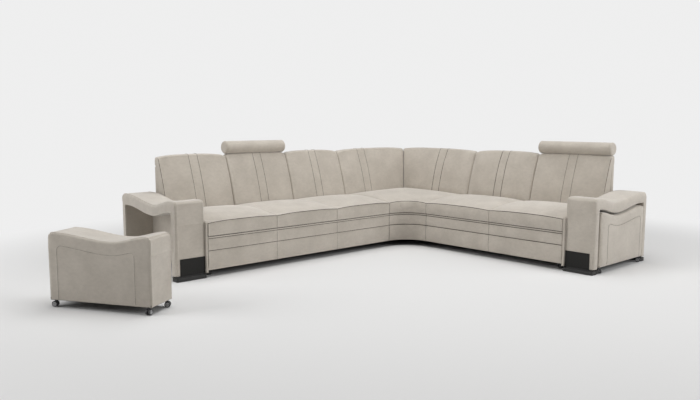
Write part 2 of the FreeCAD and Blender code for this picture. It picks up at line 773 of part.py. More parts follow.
# Caster, drawn about its own swivel axis with the wheels trailing to +X: a hood and a web
# between the two wheels, under a round stem that turns in the pouf's board.
def caster_housing():
    half = WEB_HALF
    web = []
    for ahead, z in CHEEK:
        web.append(point(CASTER_TRAIL + ahead, -half, z))
    web = Part.Face(closed(web)).extrude(point(0, 2 * half, 0))
    bore = AXLE_RADIUS + AXLE_PLAY
    hole = Part.makeCylinder(bore, 4 * half, point(CASTER_TRAIL, -2 * half, WHEEL_RADIUS), point(0, 1, 0))
    hood_height = point(0, 0, HOOD_TOP - HOOD_BOTTOM)
    hood = prism(8, HOOD_RADIUS, point(0, 0, HOOD_BOTTOM), hood_height, point(1, 0, 0))
    return web.fuse([hood, post(0, 0, STEM_RADIUS, HOOD_BOTTOM, STEM_TOP)]).cut(hole)


def caster_wheels():
    def hub(y):
        return point(CASTER_TRAIL, y, WHEEL_RADIUS)

    width = point(0, WHEEL_OUTER - WHEEL_INNER, 0)
    axle = Part.makeCylinder(AXLE_RADIUS, 2 * WHEEL_INNER, hub(-WHEEL_INNER), point(0, 1, 0))
    near = prism(WHEEL_SIDES, WHEEL_RADIUS, hub(-WHEEL_OUTER), width, point(0, 0, 1))
    far = prism(WHEEL_SIDES, WHEEL_RADIUS, hub(WHEEL_INNER), width, point(0, 0, 1))
    return axle.fuse([near, far])


# Directions, in degrees from +X, in which each caster happens to trail.
LEFT_TRAILS = {"outer_front": 215.0, "outer_rear": 130.0, "inner_front": 320.0, "inner_rear": 60.0}
RIGHT_TRAILS = {"outer_front": 250.0, "outer_rear": 285.0, "inner_front": 235.0, "inner_rear": 270.0}


def place_caster(shape, x, y, trail):
    placed = shape.copy()
    placed.rotate(HERE, UP, trail)
    placed.translate(FreeCAD.Vector(x, y, 0))
    return placed


# The left pouf stands in the room, turned and rolled away from its bay. These move a stowed
# shape, or a stowed place, to where it stands.
def stowed_centre(u0):
    inner, outer = pouf_span(u0)
    return CORNER_FOOT - 0.5 * (inner + outer), CORNER_FOOT - POUF_REAR - 0.5 * POUF_LENGTH


def roll_out(shape):
    x, y = stowed_centre(LONG_ARM)
    placed = shape.copy()
    placed.translate(FreeCAD.Vector(-x, -y, 0))
    placed.rotate(HERE, UP, LEFT_POUF_TURN)
    placed.translate(FreeCAD.Vector(LEFT_POUF_PLACE[0], LEFT_POUF_PLACE[1], 0))
    return placed


def save_poufs():
    save("pouf_left_cover", roll_out(on_long_wing(pouf_cover(LONG_ARM))))
    save("pouf_left_board", roll_out(on_long_wing(pouf_board(LONG_ARM))))
    save("pouf_right_cover", on_short_wing(pouf_cover(SHORT_ARM)))
    save("pouf_right_board", on_short_wing(pouf_board(SHORT_ARM)))
    housing = caster_housing()
    wheels = caster_wheels()
    for corner, (u, d) in caster_places(LONG_ARM).items():
        spot = roll_out(Part.Vertex(CORNER_FOOT - u, CORNER_FOOT - d, 0)).Point
        trail = LEFT_TRAILS[corner]
        print("left caster", corner, round(spot.x, 3), round(spot.y, 3), trail)
        save("pouf_left_caster_" + corner, place_caster(housing, spot.x, spot.y, trail))
        save("pouf_left_wheels_" + corner, place_caster(wheels, spot.x, spot.y, trail))
    for corner, (u, d) in caster_places(SHORT_ARM).items():
        x = CORNER_FOOT - d
        y = CORNER_FOOT - u
        trail = RIGHT_TRAILS[corner]
        print("right caster", corner, round(x, 3), round(y, 3), trail)
        save("pouf_right_caster_" + corner, place_caster(housing, x, y, trail))
        save("pouf_right_wheels_" + corner, place_caster(wheels, x, y, trail))


def save_arms():
    for side, u0, place in (("left", LONG_ARM, on_long_wing), ("right", SHORT_ARM, on_short_wing)):
        bolts = Part.makeCompound([shank(u0 - 40, u0 + 60, d, z) for d, z in ARM_BOLTS])
        nuts = Part.makeCompound(arm_bolts(u0))
        frame = Part.makeCompound(arm_frame(u0)).cut(nuts)
        save("arm_" + side + "_frame", place(frame))
        save("arm_" + side + "_cover", place(arm_cover(u0).cut(bolts)))
        save("arm_" + side + "_plate", place(arm_plate(u0)))
        save("arm_" + side + "_side_panel", place(side_panel(u0).cut(bolts)))


def save_seats():
    ends = [CORNER + seat * LONG_SEAT for seat in range(LONG_SEATS)] + [LONG_ARM - SIDE_PANEL]
    for seat in range(LONG_SEATS):
        name = "seat_cushion_long_" + str(seat + 1)
        cushion = seat_cushion(ends[seat] + CUSHION_GAP, ends[seat + 1] - CUSHION_GAP)
        save(name, on_long_wing(cushion))
    save("seat_cushion_corner", on_long_wing(corner_seat()))
    ends = [CORNER + seat * SHORT_SEAT for seat in range(SHORT_SEATS)] + [SHORT_ARM - SIDE_PANEL]
    for seat in range(SHORT_SEATS):
        name = "seat_cushion_short_" + str(seat + 1)
        cushion = seat_cushion(ends[seat] + CUSHION_GAP, ends[seat + 1] - CUSHION_GAP)
        save(name, on_short_wing(cushion))
    save("front_panel_long", on_long_wing(front_panel(CORNER, LONG_SEAT, LONG_SEATS, SIDE_PANEL)))
    save("front_panel_corner", on_long_wing(corner_front_panel()))
    save("front_panel_short", on_short_wing(front_panel(CORNER, SHORT_SEAT, SHORT_SEATS, SIDE_PANEL)))


def save_backs():
    gap = CUSHION_GAP
    edge = [CORNER + seat * LONG_SEAT for seat in range(LONG_SEATS)] + [LONG_ARM - 4]
    save("back_cushion_long_1", on_long_wing(back_cushion(edge[0] + gap, edge[1] - gap, 0)))
    save("back_cushion_long_2", on_long_wing(headrest_back_cushion(edge[1] + gap, edge[2] - gap)))
    save("back_cushion_long_3", on_long_wing(back_cushion(edge[2] + gap, edge[3], 0)))
    save("back_cushion_corner_long", on_long_wing(corner_back_cushion(LONG_CORNER_STRIP)))
    save("back_cushion_corner_short", on_short_wing(corner_back_cushion(SHORT_CORNER_STRIP)))
    left_bars = bar_places(edge[1], edge[2])
    save("headrest_left", on_long_wing(headrest_bolster(edge[1] + 4, edge[2] - 4, left_bars)))
    save("headrest_left_bars", *[on_long_wing(bar) for bar in headrest_bars(left_bars)])
    sockets = [on_long_wing(socket) for socket in headrest_sockets(left_bars)]
    edge = [CORNER, CORNER + SHORT_SEAT, SHORT_ARM - 4]
    save("back_cushion_short_1", on_short_wing(back_cushion(edge[0] + gap, edge[1] - gap, 0)))
    save("back_cushion_short_2", on_short_wing(headrest_back_cushion(edge[1] + gap, edge[2])))
    right_bars = bar_places(edge[1], edge[2])
    save("headrest_right", on_short_wing(headrest_bolster(edge[1] + 1, edge[2] - 1, right_bars)))
    save("headrest_right_bars", *[on_short_wing(bar) for bar in headrest_bars(right_bars)])
    sockets += [on_short_wing(socket) for socket in headrest_sockets(right_bars)]
    save("headrest_sockets", *sockets)
    return left_bars, right_bars


def save_frames(left_bars, right_bars):
    long_end = LONG_ARM - SIDE_PANEL
    short_end = SHORT_ARM - SIDE_PANEL
    holes = joint_holes()
    long_bolts = Part.makeCompound(joint_bolts() + arm_bolts(LONG_ARM))
    short_bolts = Part.makeCompound(joint_bolts() + arm_bolts(SHORT_ARM))
    long_frame = Part.makeCompound(wing_frame(CORNER, LONG_SEAT, LONG_SEATS, long_end, left_bars))
    short_frame = Part.makeCompound(wing_frame(CORNER, SHORT_SEAT, SHORT_SEATS, short_end, right_bars))
    save("frame_long", on_long_wing(long_frame.cut(long_bolts)))
    save("frame_short", on_short_wing(short_frame.cut(short_bolts)))
    save("frame_corner", on_long_wing(Part.makeCompound(corner_frame()).cut(holes).cut(swap_wing(holes))))
    fasteners = [on_long_wing(item) for item in joint_bolts() + arm_bolts(LONG_ARM)]
    fasteners += [on_short_wing(item) for item in joint_bolts() + arm_bolts(SHORT_ARM)]
    save("module_bolts", *fasteners)
    straps = [on_long_wing(strap) for strap in wing_straps(CORNER, LONG_SEAT, LONG_SEATS, long_end)]
    straps += [on_long_wing(strap) for strap in corner_straps()]
    straps += [on_short_wing(strap) for strap in wing_straps(CORNER, SHORT_SEAT, SHORT_SEATS, short_end)]
    save("seat_webbing", *straps)
    save("rear_cover_long", on_long_wing(wing_rear_cover(CORNER, LONG_ARM - 4)))
    save("rear_cover_corner", *[on_long_wing(half) for half in corner_rear_cover()])
    save("rear_cover_short", on_short_wing(wing_rear_cover(CORNER, SHORT_ARM - 4)))
    save("dust_covers", *dust_covers())


def save_feet():
    slabs = [on_long_wing(foot) for foot in arm_feet(LONG_ARM)]
    slabs += [on_short_wing(foot) for foot in arm_feet(SHORT_ARM)]
    save("arm_slab_feet", *slabs)
    save("round_feet", *small_feet())


os.makedirs("parts", exist_ok=True)
save_arms()
save_seats()
bars_of_long, bars_of_short = save_backs()
save_frames(bars_of_long, bars_of_short)
save_feet()
save_poufs()
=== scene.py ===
# %% [markdown]
# Corner sofa in brushed microfibre: two wings of seats meet in a corner seat, each arm is an
# upholstered arch over an open bay, and a pouf on casters fits each bay. This lesson dresses the
# fixed frame of the sofa piece by piece. The frame gives every place and size, in metres.
# %% Load the frame
import json
import math

import bmesh
import bpy
from mathutils import Euler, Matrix, Vector, kdtree, noise
from mathutils.bvhtree import BVHTree


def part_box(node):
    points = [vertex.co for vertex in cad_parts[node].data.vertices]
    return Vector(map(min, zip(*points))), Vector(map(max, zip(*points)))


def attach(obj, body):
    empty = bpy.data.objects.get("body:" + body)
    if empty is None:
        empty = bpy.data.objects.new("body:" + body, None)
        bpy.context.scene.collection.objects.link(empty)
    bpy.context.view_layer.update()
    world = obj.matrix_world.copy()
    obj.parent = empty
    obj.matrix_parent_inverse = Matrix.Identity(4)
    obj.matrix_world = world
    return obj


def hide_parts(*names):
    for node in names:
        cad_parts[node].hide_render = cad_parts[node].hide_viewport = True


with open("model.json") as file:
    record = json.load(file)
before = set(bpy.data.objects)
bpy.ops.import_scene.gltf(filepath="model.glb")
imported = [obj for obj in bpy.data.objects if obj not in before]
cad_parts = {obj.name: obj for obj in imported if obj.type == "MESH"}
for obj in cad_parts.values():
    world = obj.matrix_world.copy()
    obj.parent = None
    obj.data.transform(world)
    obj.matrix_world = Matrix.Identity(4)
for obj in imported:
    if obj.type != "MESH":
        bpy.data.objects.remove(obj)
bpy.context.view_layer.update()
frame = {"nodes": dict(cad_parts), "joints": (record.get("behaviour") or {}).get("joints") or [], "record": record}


def linked(name, data):
    """A new object in the scene."""
    thing = bpy.data.objects.new(name, data)
    bpy.context.scene.collection.objects.link(thing)
    return thing


def finished(bm, name):
    """The mesh of bm, which is freed."""
    mesh = bpy.data.meshes.new(name)
    bm.to_mesh(mesh)
    bm.free()
    return mesh


def smooth_faces(mesh):
    for face in mesh.polygons:
        face.use_smooth = True


# %% [markdown]
# The camera comes first, because everything is judged through it. It stands where the
# photographer stood: in front of the inner corner, a little to the left, at chest height. Its
# lens was worked out from the straight edges of the two wings, which are square to each other.
# %% Camera
CAMERA_PLACE = (-5.679, -5.2598, 1.1793)
CAMERA_PITCH = -6.486
CAMERA_HEADING = 42.802
CAMERA_ROLL = 0.127
PHOTO_FOCAL_PX = 691.196
PHOTO_WIDTH_PX = 700

camera = linked("camera", bpy.data.cameras.new("camera"))
turn = Euler((math.radians(90 + CAMERA_PITCH), 0, math.radians(-CAMERA_HEADING))).to_matrix()
roll = Euler((0, 0, math.radians(CAMERA_ROLL))).to_matrix()
camera.matrix_world = (turn @ roll).to_4x4()
camera.location = CAMERA_PLACE
camera.data.sensor_width = 36
camera.data.lens = camera.data.sensor_width * PHOTO_FOCAL_PX / PHOTO_WIDTH_PX
bpy.context.scene.camera = camera
print("lens", round(camera.data.lens, 2), "mm")

# %% [markdown]
# Both wings are the same kind of thing, so each piece is shaped once in wing coordinates: u runs
# along the wing from the outer rear corner, d runs forward from the rear of the arms, z is up.
# The long wing turns these by half a turn. The short wing swaps u and d first, which mirrors it.
# %% Wing coordinates
CORNER_FOOT = 0.140


def long_wing(u, d, z):
    return Vector((CORNER_FOOT - u, CORNER_FOOT - d, z))


def short_wing(u, d, z):
    return Vector((CORNER_FOOT - d, CORNER_FOOT - u, z))


def span(node, wing):
    """Lowest and highest (u, d, z) of a node."""
    low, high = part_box(node)
    ends = (CORNER_FOOT - high.x, CORNER_FOOT - low.x), (CORNER_FOOT - high.y, CORNER_FOOT - low.y)
    along, ahead = ends if wing is long_wing else ends[::-1]
    return Vector((along[0], ahead[0], low.z)), Vector((along[1], ahead[1], high.z))


# %% [markdown]
# The fabric is a short-napped microfibre. Up close it is a dense grain, and from a step away the
# nap lies in soft lighter and darker clouds where hands have brushed it. Three noise textures at
# three scales make that, and a fine bump gives the grain. Sheen, a faint glow at grazing angles,
# sits on the shader's own socket.
# %% Fabric
SUEDE_LIGHT = (0.592, 0.540, 0.472, 1)
SUEDE_DARK = (0.510, 0.462, 0.400, 1)
WHITE = (1, 1, 1, 1)
BRUSHED_DARK = (0.92, 0.92, 0.92, 1)
GRAIN_DARK = (0.86, 0.86, 0.86, 1)
CLOUD_SCALE = 7.0
BRUSH_SCALE = 34.0
GRAIN_SCALE = 900.0
NAP_SCALE = 700.0


def new_material(name, roughness):
    material = bpy.data.materials.new(name)
    material.use_nodes = True
    shader = material.node_tree.nodes["Principled BSDF"]
    shader.inputs["Roughness"].default_value = roughness
    return material, material.node_tree, shader


def noise_node(tree, scale, detail, stretch=(1, 1, 1)):
    place = tree.nodes.new("ShaderNodeTexCoord")
    mapping = tree.nodes.new("ShaderNodeMapping")
    mapping.inputs["Scale"].default_value = stretch
    texture = tree.nodes.new("ShaderNodeTexNoise")
    texture.inputs["Scale"].default_value = scale
    texture.inputs["Detail"].default_value = detail
    tree.links.new(place.outputs["Object"], mapping.inputs["Vector"])
    tree.links.new(mapping.outputs["Vector"], texture.inputs["Vector"])
    return texture.outputs["Fac"]


def mixed(tree, factor, low, high):
    """A colour between low and high by factor, with the middle of the factor stretched."""
    ramp = tree.nodes.new("ShaderNodeValToRGB")
    ramp.color_ramp.elements[0].position = 0.3
    ramp.color_ramp.elements[1].position = 0.7
    ramp.color_ramp.elements[0].color = low
    ramp.color_ramp.elements[1].color = high
    tree.links.new(factor, ramp.inputs["Fac"])
    return ramp.outputs["Color"]


def blended(tree, kind, amount, first, second):
    """On a Mix node, sockets 6, 7 and output 2 are the colours."""
    mix = tree.nodes.new("ShaderNodeMix")
    mix.data_type = "RGBA"
    mix.blend_type = kind
    mix.inputs["Factor"].default_value = amount
    tree.links.new(first, mix.inputs[6])
    tree.links.new(second, mix.inputs[7])
    return mix.outputs[2]


def bumped(tree, shader, height, strength, distance):
    bump = tree.nodes.new("ShaderNodeBump")
    bump.inputs["Strength"].default_value = strength
    bump.inputs["Distance"].default_value = distance
    tree.links.new(height, bump.inputs["Height"])
    tree.links.new(bump.outputs["Normal"], shader.inputs["Normal"])


def suede(name, light, dark):
    material, tree, shader = new_material(name, 0.92)
    clouds = mixed(tree, noise_node(tree, CLOUD_SCALE, 4.0), dark, light)
    brushed = mixed(tree, noise_node(tree, BRUSH_SCALE, 5.0, (1.0, 1.0, 1.6)), BRUSHED_DARK, WHITE)
    grain = mixed(tree, noise_node(tree, GRAIN_SCALE, 2.0), GRAIN_DARK, WHITE)
    colour = blended(tree, "MULTIPLY", 1.0, clouds, brushed)
    colour = blended(tree, "MULTIPLY", 1.0, colour, grain)
    tree.links.new(colour, shader.inputs["Base Color"])
    shader.inputs["Sheen Weight"].default_value = 0.5
    shader.inputs["Sheen Roughness"].default_value = 0.5
    shader.inputs["Specular IOR Level"].default_value = 0.25
    bumped(tree, shader, noise_node(tree, NAP_SCALE, 3.0), 0.35, 0.0006)
    return material


fabric = suede("suede", SUEDE_LIGHT, SUEDE_DARK)
# The bays' inner walls are the same beige suede. This dark warm brown is painted shade: the shadow and warm bounce
# light inside each bay.
bay_shade_suede = suede("bay_lining", (0.29, 0.190, 0.115, 1), (0.235, 0.152, 0.090, 1))

# %% [markdown]
# The other finishes are plain ones: contrast thread, a satin black plate with a little fine
# grain, black moulded feet, zinc-plated steel, softwood, and the black cloth under the base.
# %% Other finishes


def plain(name, colour, roughness, bump_scale, bump_distance, metallic=0.0, spread=0.12, shine=0.5):
    material, tree, shader = new_material(name, roughness)
    shader.inputs["Metallic"].default_value = metallic
    shader.inputs["Specular IOR Level"].default_value = shine
    dark = tuple(part * (1 - spread) for part in colour) + (1,)
    light = tuple(part * (1 + spread) for part in colour) + (1,)
    colours = mixed(tree, noise_node(tree, bump_scale * 0.2, 3.0), dark, light)
    tree.links.new(colours, shader.inputs["Base Color"])
    bumped(tree, shader, noise_node(tree, bump_scale, 3.0), 0.2, bump_distance)
    return material


def timber():
    material, tree, shader = new_material("softwood", 0.7)
    rings = mixed(tree, noise_node(tree, 9.0, 6.0, (1, 1, 14)), (0.42, 0.28, 0.15, 1), (0.68, 0.50, 0.31, 1))
    tree.links.new(rings, shader.inputs["Base Color"])
    bumped(tree, shader, noise_node(tree, 60.0, 4.0, (1, 1, 12)), 0.2, 0.0004)
    return material


thread = plain("contrast_thread", (0.042, 0.034, 0.027), 0.75, 1500, 0.0003)
plate_finish = plain("plate_satin", (0.012, 0.0115, 0.0105), 0.5, 600, 0.00005, shine=0.2)
foot_finish = plain("foot_plastic", (0.012, 0.0115, 0.011), 0.5, 900, 0.0001)
steel = plain("zinc_steel", (0.62, 0.62, 0.63), 0.3, 400, 0.00005, metallic=1.0, spread=0.05)
nylon = plain("black_nylon", (0.03, 0.03, 0.031), 0.45, 900, 0.0001)
tyre_finish = plain("wheel_tyre", (0.045, 0.045, 0.047), 0.55, 900, 0.0001)
hub_finish = plain("wheel_hub", (0.45, 0.45, 0.46), 0.35, 700, 0.00005)
dust_cloth = plain("dust_cloth", (0.03, 0.03, 0.03), 0.95, 1200, 0.0004)
wood = timber()

# %% [markdown]
# Every padded piece starts as a cube that is cut by planes into a grid, which is the sewn cage.
# Lines lie close together at rounded edges and seams, where the shape turns fast, and other lines
# keep a share of their own spacing, STOP_SPACING, away from those. A formula then moves the cage
# to its place. Seams are kept as lists of cage points, so they can be followed after the cloth
# has swollen.
# %% Cage
EDGE_STOPS = (0.423, 1.0)
SEAM_STOPS = (-0.008, -0.003, 0.0, 0.003, 0.008)
STOP_SPACING = 0.35
HAIR = 0.0005
NEAR = 1e-6


def stops(low, high, step, extra):
    count = max(1, round((high - low) / step))
    marks = sorted({round(place, 6) for place in extra if low + HAIR < place < high - HAIR})
    for number in range(1, count):
        place = low + (high - low) * number / count
        if all(abs(place - mark) > STOP_SPACING * step for mark in marks):
            marks.append(place)
    return sorted(marks)


def cage(low, high, step, low_radii, high_radii, seam_planes):
    bm = bmesh.new()
    bmesh.ops.create_cube(bm, size=1.0)
    bmesh.ops.scale(bm, vec=high - low, verts=bm.verts)
    bmesh.ops.translate(bm, vec=(low + high) / 2, verts=bm.verts)
    for axis in range(3):
        extra = [low[axis] + low_radii[axis] * stop for stop in EDGE_STOPS]
        extra += [high[axis] - high_radii[axis] * stop for stop in EDGE_STOPS]
        for plane_axis, place in seam_planes:
            if plane_axis == axis:
                extra += [place + stop for stop in SEAM_STOPS]
        normal = Vector([float(number == axis) for number in range(3)])
        for place in stops(low[axis], high[axis], step[axis], extra):
            everything = bm.verts[:] + bm.edges[:] + bm.faces[:]
            bmesh.ops.bisect_plane(bm, geom=everything, dist=1e-7, plane_co=normal * place, plane_no=normal)
    return bm


def rounded(point, low, high, low_radii, high_radii):
    """Moves a point of a box's skin so that the box's edges are round."""
    core = [min(max(point[n], low[n] + low_radii[n]), high[n] - high_radii[n]) for n in range(3)]
    radii = [low_radii[n] if point[n] < core[n] else high_radii[n] for n in range(3)]
    out = [(point[n] - core[n]) / radii[n] for n in range(3)]
    reach = math.sqrt(sum(part * part for part in out))
    if reach < NEAR:
        return point.copy()
    share = max(abs(part) for part in out) / reach
    return Vector([core[n] + radii[n] * out[n] * share for n in range(3)])


def at(value, place):
    return abs(value - place) < 1e-5


# %% [markdown]
# Real upholstery is cloth pulled over foam. Blender's Cloth with inside pressure swells the cage
# between its sewn lines, while the group "sewn" holds the seams, the underside and the faces
# that touch a neighbour. All pieces swell in one run of twenty frames, and no point may move
# further than the piece's cap. Each piece waits in the list pads until then.
# %% Padded piece
pads = []


def pad(name, nodes, body, low, high, step, radii, shape, hold, seams, planes=(), cap=0.006, fill=0.7,
        hold_seams=True):
    """seams: [(test, cord radius or 0, groove depth)], where test gives an order along the seam or None."""
    low_radii, high_radii = radii if isinstance(radii, tuple) else (radii, radii)
    bm = cage(low, high, step, low_radii, high_radii, planes)
    bm.verts.index_update()
    bm.verts.ensure_lookup_table()
    lines = []
    for test, radius, depth in seams:
        found = [(test(vert.co), vert.index) for vert in bm.verts]
        order = sorted((key, index) for key, index in found if key is not None)
        lines.append(([index for key, index in order], radius, depth))
    held = {index for line, radius, depth in lines for index in line if hold_seams}
    held |= {vert.index for vert in bm.verts if hold(vert.co)}
    for vert in bm.verts:
        vert.co = shape(rounded(vert.co, low, high, low_radii, high_radii))
    bmesh.ops.recalc_face_normals(bm, faces=bm.faces)
    piece = linked(name, finished(bm, name))
    piece.vertex_groups.new(name="sewn").add(sorted(held), 1.0, "REPLACE")
    piece.data.materials.append(fabric)
    pads.append({"piece": piece, "nodes": nodes, "body": body, "lines": lines, "cap": cap, "fill": fill})
    return piece


# %% [markdown]
# A seat cushion is highest in its middle and falls to its neighbours, to the back and to the
# piped front edge, which rises a little in the middle too. Below the piping its front is a plain
# upright band.
# %% Seat cushions
CORNER = 1.150
SEAT_FRONT = 0.909
SEAT_HEEL = 0.300
SEAT_REAR = 0.452
SEAT_CREST = 0.468
CREST_SHARE = 0.49
PIPING = 0.420
SEAT_DIP = -0.007
SEAT_RISE = 0.023
SEAT_STEP = Vector((0.013, 0.013, 0.013))
SEAT_RADII = Vector((0.003, 0.010, 0.008))
SEAT_BELLY = 0.004
CLEAR = 0.0008
CREST_POWER = 2.6
PIPING_CORD = 0.0026
PIPING_GROOVE = 0.002
SEAM_CORD = 0.0018
PANEL_CORD = 0.0024
PANEL_GROOVE = 0.001
FIELD_CORD = 0.0009
FIELD_GROOVE = 0.0022


def seat_top(share_along, d):
    lift = SEAT_DIP + SEAT_RISE * (1 - abs(2 * share_along - 1) ** CREST_POWER)
    t = (SEAT_FRONT - d) / (SEAT_FRONT - SEAT_HEEL)
    front = (PIPING + 0.5 * lift) * (t - CREST_SHARE) * (t - 1) / CREST_SHARE
    crest = (SEAT_CREST + lift) * t * (1 - t) / (CREST_SHARE * (1 - CREST_SHARE))
    rear = (SEAT_REAR + 0.6 * lift) * t * (t - CREST_SHARE) / (1 - CREST_SHARE)
    return front + crest + rear


def seat(name, low, high, place, end_gap_shade_cord):
    """low and high are the cushion's flat box, and place turns (u, d, z) of it into the row frame."""
    top = high.z

    def shape(p):
        share = (p.x - low.x) / (high.x - low.x)
        rise = (p.z - low.z) / (top - low.z)
        front = (p.y - low.y) / (high.y - low.y)
        belly = SEAT_BELLY * math.sin(math.pi * min(1, max(0, rise))) * front
        return place(p.x, p.y + belly, low.z + rise * (seat_top(share, p.y) - low.z))

    def hold(p):
        end = at(p.x, low.x) or at(p.x, high.x)
        return end or at(p.z, low.z) or at(p.y, low.y)

    def piping(p):
        return p.x if at(p.y, high.y) and at(p.z, top) else None

    def upright(end):
        return lambda p: p.z if at(p.y, high.y) and at(p.x, end) else None

    seams = [(piping, PIPING_CORD, PIPING_GROOVE)]
    # The cords up the corner seat's two front ends are painted shade in the gaps to the wings' seats. The wings'
    # seats have none.
    seams += [(upright(end), end_gap_shade_cord, 0.0) for end in (low.x, high.x)]
    pad(name.replace("seat_cushion", "seat"), [name], "sofa", low, high, SEAT_STEP, SEAT_RADII, shape,
        hold, seams, cap=0.006)


for wing, wing_name, count in ((long_wing, "long", 3), (short_wing, "short", 2)):
    for number in range(1, count + 1):
        node = f"seat_cushion_{wing_name}_{number}"
        low, high = span(node, wing)
        seat(node, Vector((low.x, SEAT_HEEL, low.z)), Vector((high.x, SEAT_FRONT, SEAT_REAR)), wing, 0.0)

# %% [markdown]
# The corner seat has the same section, but it fans out from the centre of its concave front. The
# same cage is bent: its length becomes an angle of a quarter turn, and its rear edge stretches
# to the two straight lines that meet at the rear corner.
# %% Corner seat
FAN_LENGTH = 0.95
# Radius of the dark thread cords up the corner seat's and corner panel's ends. These cords are painted shade in
# the narrow gaps to the wings' seats and panels.
GAP_SHADE_CORD = 0.0016


def fan(x, d, z):
    angle = 0.5 * math.pi * x / FAN_LENGTH
    near = CORNER - SEAT_FRONT
    far = (CORNER - SEAT_HEEL) / max(math.sin(angle), math.cos(angle))
    reach = near + (far - near) * (SEAT_FRONT - d) / (SEAT_FRONT - SEAT_HEEL)
    return long_wing(CORNER - reach * math.sin(angle), CORNER - reach * math.cos(angle), z)


corner_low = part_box("seat_cushion_corner")[0]
seat("seat_cushion_corner", Vector((CLEAR, SEAT_HEEL, corner_low.z)),
     Vector((FAN_LENGTH - CLEAR, SEAT_FRONT, SEAT_REAR)), fan, GAP_SHADE_CORD)

# %% [markdown]
# The panel under the seats is sewn in three fields, one above the other, with contrast cord in
# its seams. The short upright seams between two seats have no cord. The corner's panel is the
# same cage bent round the concave front.
# %% Front panels
PANEL_SEAM = 0.205
PANEL_CREASE = 0.298
PANEL_FRONT = SEAT_FRONT - 0.005
PANEL_CLEAR = 0.001
PANEL_BELLY_SHARE = 0.030
PANEL_RADII = Vector((0.003, 0.004, 0.003))
PANEL_STEP = Vector((0.016, 0.012, 0.012))


def front_panel(node, name, low, high, divisions, ends, place):
    def shape(p):
        bottom, top = next(field for field in fields if p.z <= field[1] + NEAR)
        rise = min(1, max(0, (p.z - bottom) / (top - bottom)))
        belly = PANEL_BELLY_SHARE * (top - bottom) * math.sin(math.pi * rise)
        front = (p.y - low.y) / (high.y - low.y)
        return place(p.x, p.y + belly * front, p.z)

    def hold(p):
        return at(p.y, low.y) or at(p.z, low.z) or at(p.z, high.z)

    def across(level):
        return lambda p: p.x if at(p.y, high.y) and at(p.z, level) else None

    def upright(u):
        return lambda p: p.z if at(p.y, high.y) and at(p.x, u) else None

    fields = ((low.z, PANEL_SEAM), (PANEL_SEAM, PANEL_CREASE), (PANEL_CREASE, high.z))
    seams = [(across(level), PANEL_CORD, PANEL_GROOVE) for level in (PANEL_SEAM, PANEL_CREASE)]
    seams.append((across(high.z), PANEL_CORD, 0.0))
    seams += [(upright(u), FIELD_CORD, FIELD_GROOVE) for u in divisions]
    # The cords up the corner panel's ends are painted shade in the gaps to the wings' panels.
    seams += [(upright(u), GAP_SHADE_CORD, 0.0) for u in ends]
    planes = [(2, PANEL_SEAM), (2, PANEL_CREASE)] + [(0, u) for u in divisions]
    pad(name, [node], "sofa", low, high, PANEL_STEP, PANEL_RADII, shape, hold, seams, planes, cap=0.004)


for wing, wing_name, count in ((long_wing, "long", 3), (short_wing, "short", 2)):
    low, high = span("front_panel_" + wing_name, wing)
    high.y = PANEL_FRONT
    width = span(f"seat_cushion_{wing_name}_1", wing)[1].x - low.x
    front_panel("front_panel_" + wing_name, "panel_" + wing_name, low, high,
                [low.x + width * (number + 1) for number in range(count - 1)], [], wing)


def round_corner(x, d, z):
    angle = 0.5 * math.pi * x / FAN_LENGTH
    reach = CORNER - d
    return long_wing(CORNER - reach * math.sin(angle), CORNER - reach * math.cos(angle), z)


low, high = span("front_panel_long", long_wing)
ends = [PANEL_CLEAR, FAN_LENGTH - PANEL_CLEAR]
front_panel("front_panel_corner", "panel_corner", Vector((ends[0], low.y, low.z)),
            Vector((ends[1], PANEL_FRONT, high.z)), [], ends, round_corner)

# %% [markdown]
# A back cushion leans back and wraps over the frame. Its section is a box whose front and rear
# faces follow two lines, and its round edges make the valleys between neighbours. Two seams draw
# a narrow strip into it, from the seat up and over the top.
# %% Back cushions
BACK_FRONT = 0.296
BACK_CREASE = 0.452
BACK_SHOULDER = 0.156
BACK_FOOT = 0.317
BACK_TOE = 0.006
DIAGONAL_CLEAR = 0.0006
BACK_BULGE = 0.011
BACK_TOP = 0.900
FRAME_TOP = 0.801
BACK_THICK = 0.100
BACK_REAR = 0.104
FRAME_FRONT = 0.149
BACK_LOW_RADII = Vector((0.040, 0.004, 0.010))
BACK_CORNER_RADII = Vector((0.026, 0.004, 0.010))
BACK_HIGH_RADII = Vector((0.040, 0.020, 0.034))
BACK_OUTER_RADII = Vector((0.010, 0.020, 0.034))
BACK_STEP = Vector((0.014, 0.013, 0.014))
SEAM_START = 0.40
STRIP_GROOVE = 0.0025
BOXING_GROOVE = 0.001
END_FALL = 0.020
END_FALL_POWER = 3.2
HEADREST_DROP = 0.005
HEADREST_END_FALL = 0.006
STRIP_HALF = 0.042
CORNER_STRIP_HALF = 0.057
BACK_CENTRES = {"corner_long": 0.810, "corner_short": 0.728}


def back_front(z):
    if z < BACK_CREASE:
        return BACK_FRONT - BACK_TOE * (BACK_CREASE - z) / (BACK_CREASE - BACK_FOOT)
    share = (z - BACK_CREASE) / (BACK_TOP - BACK_CREASE)
    lean = BACK_FRONT + (BACK_SHOULDER - BACK_FRONT) * share
    return lean + BACK_BULGE * math.sin(math.pi * min(1, share))


def back_rear(z):
    return BACK_REAR if z > FRAME_TOP - HAIR else FRAME_FRONT


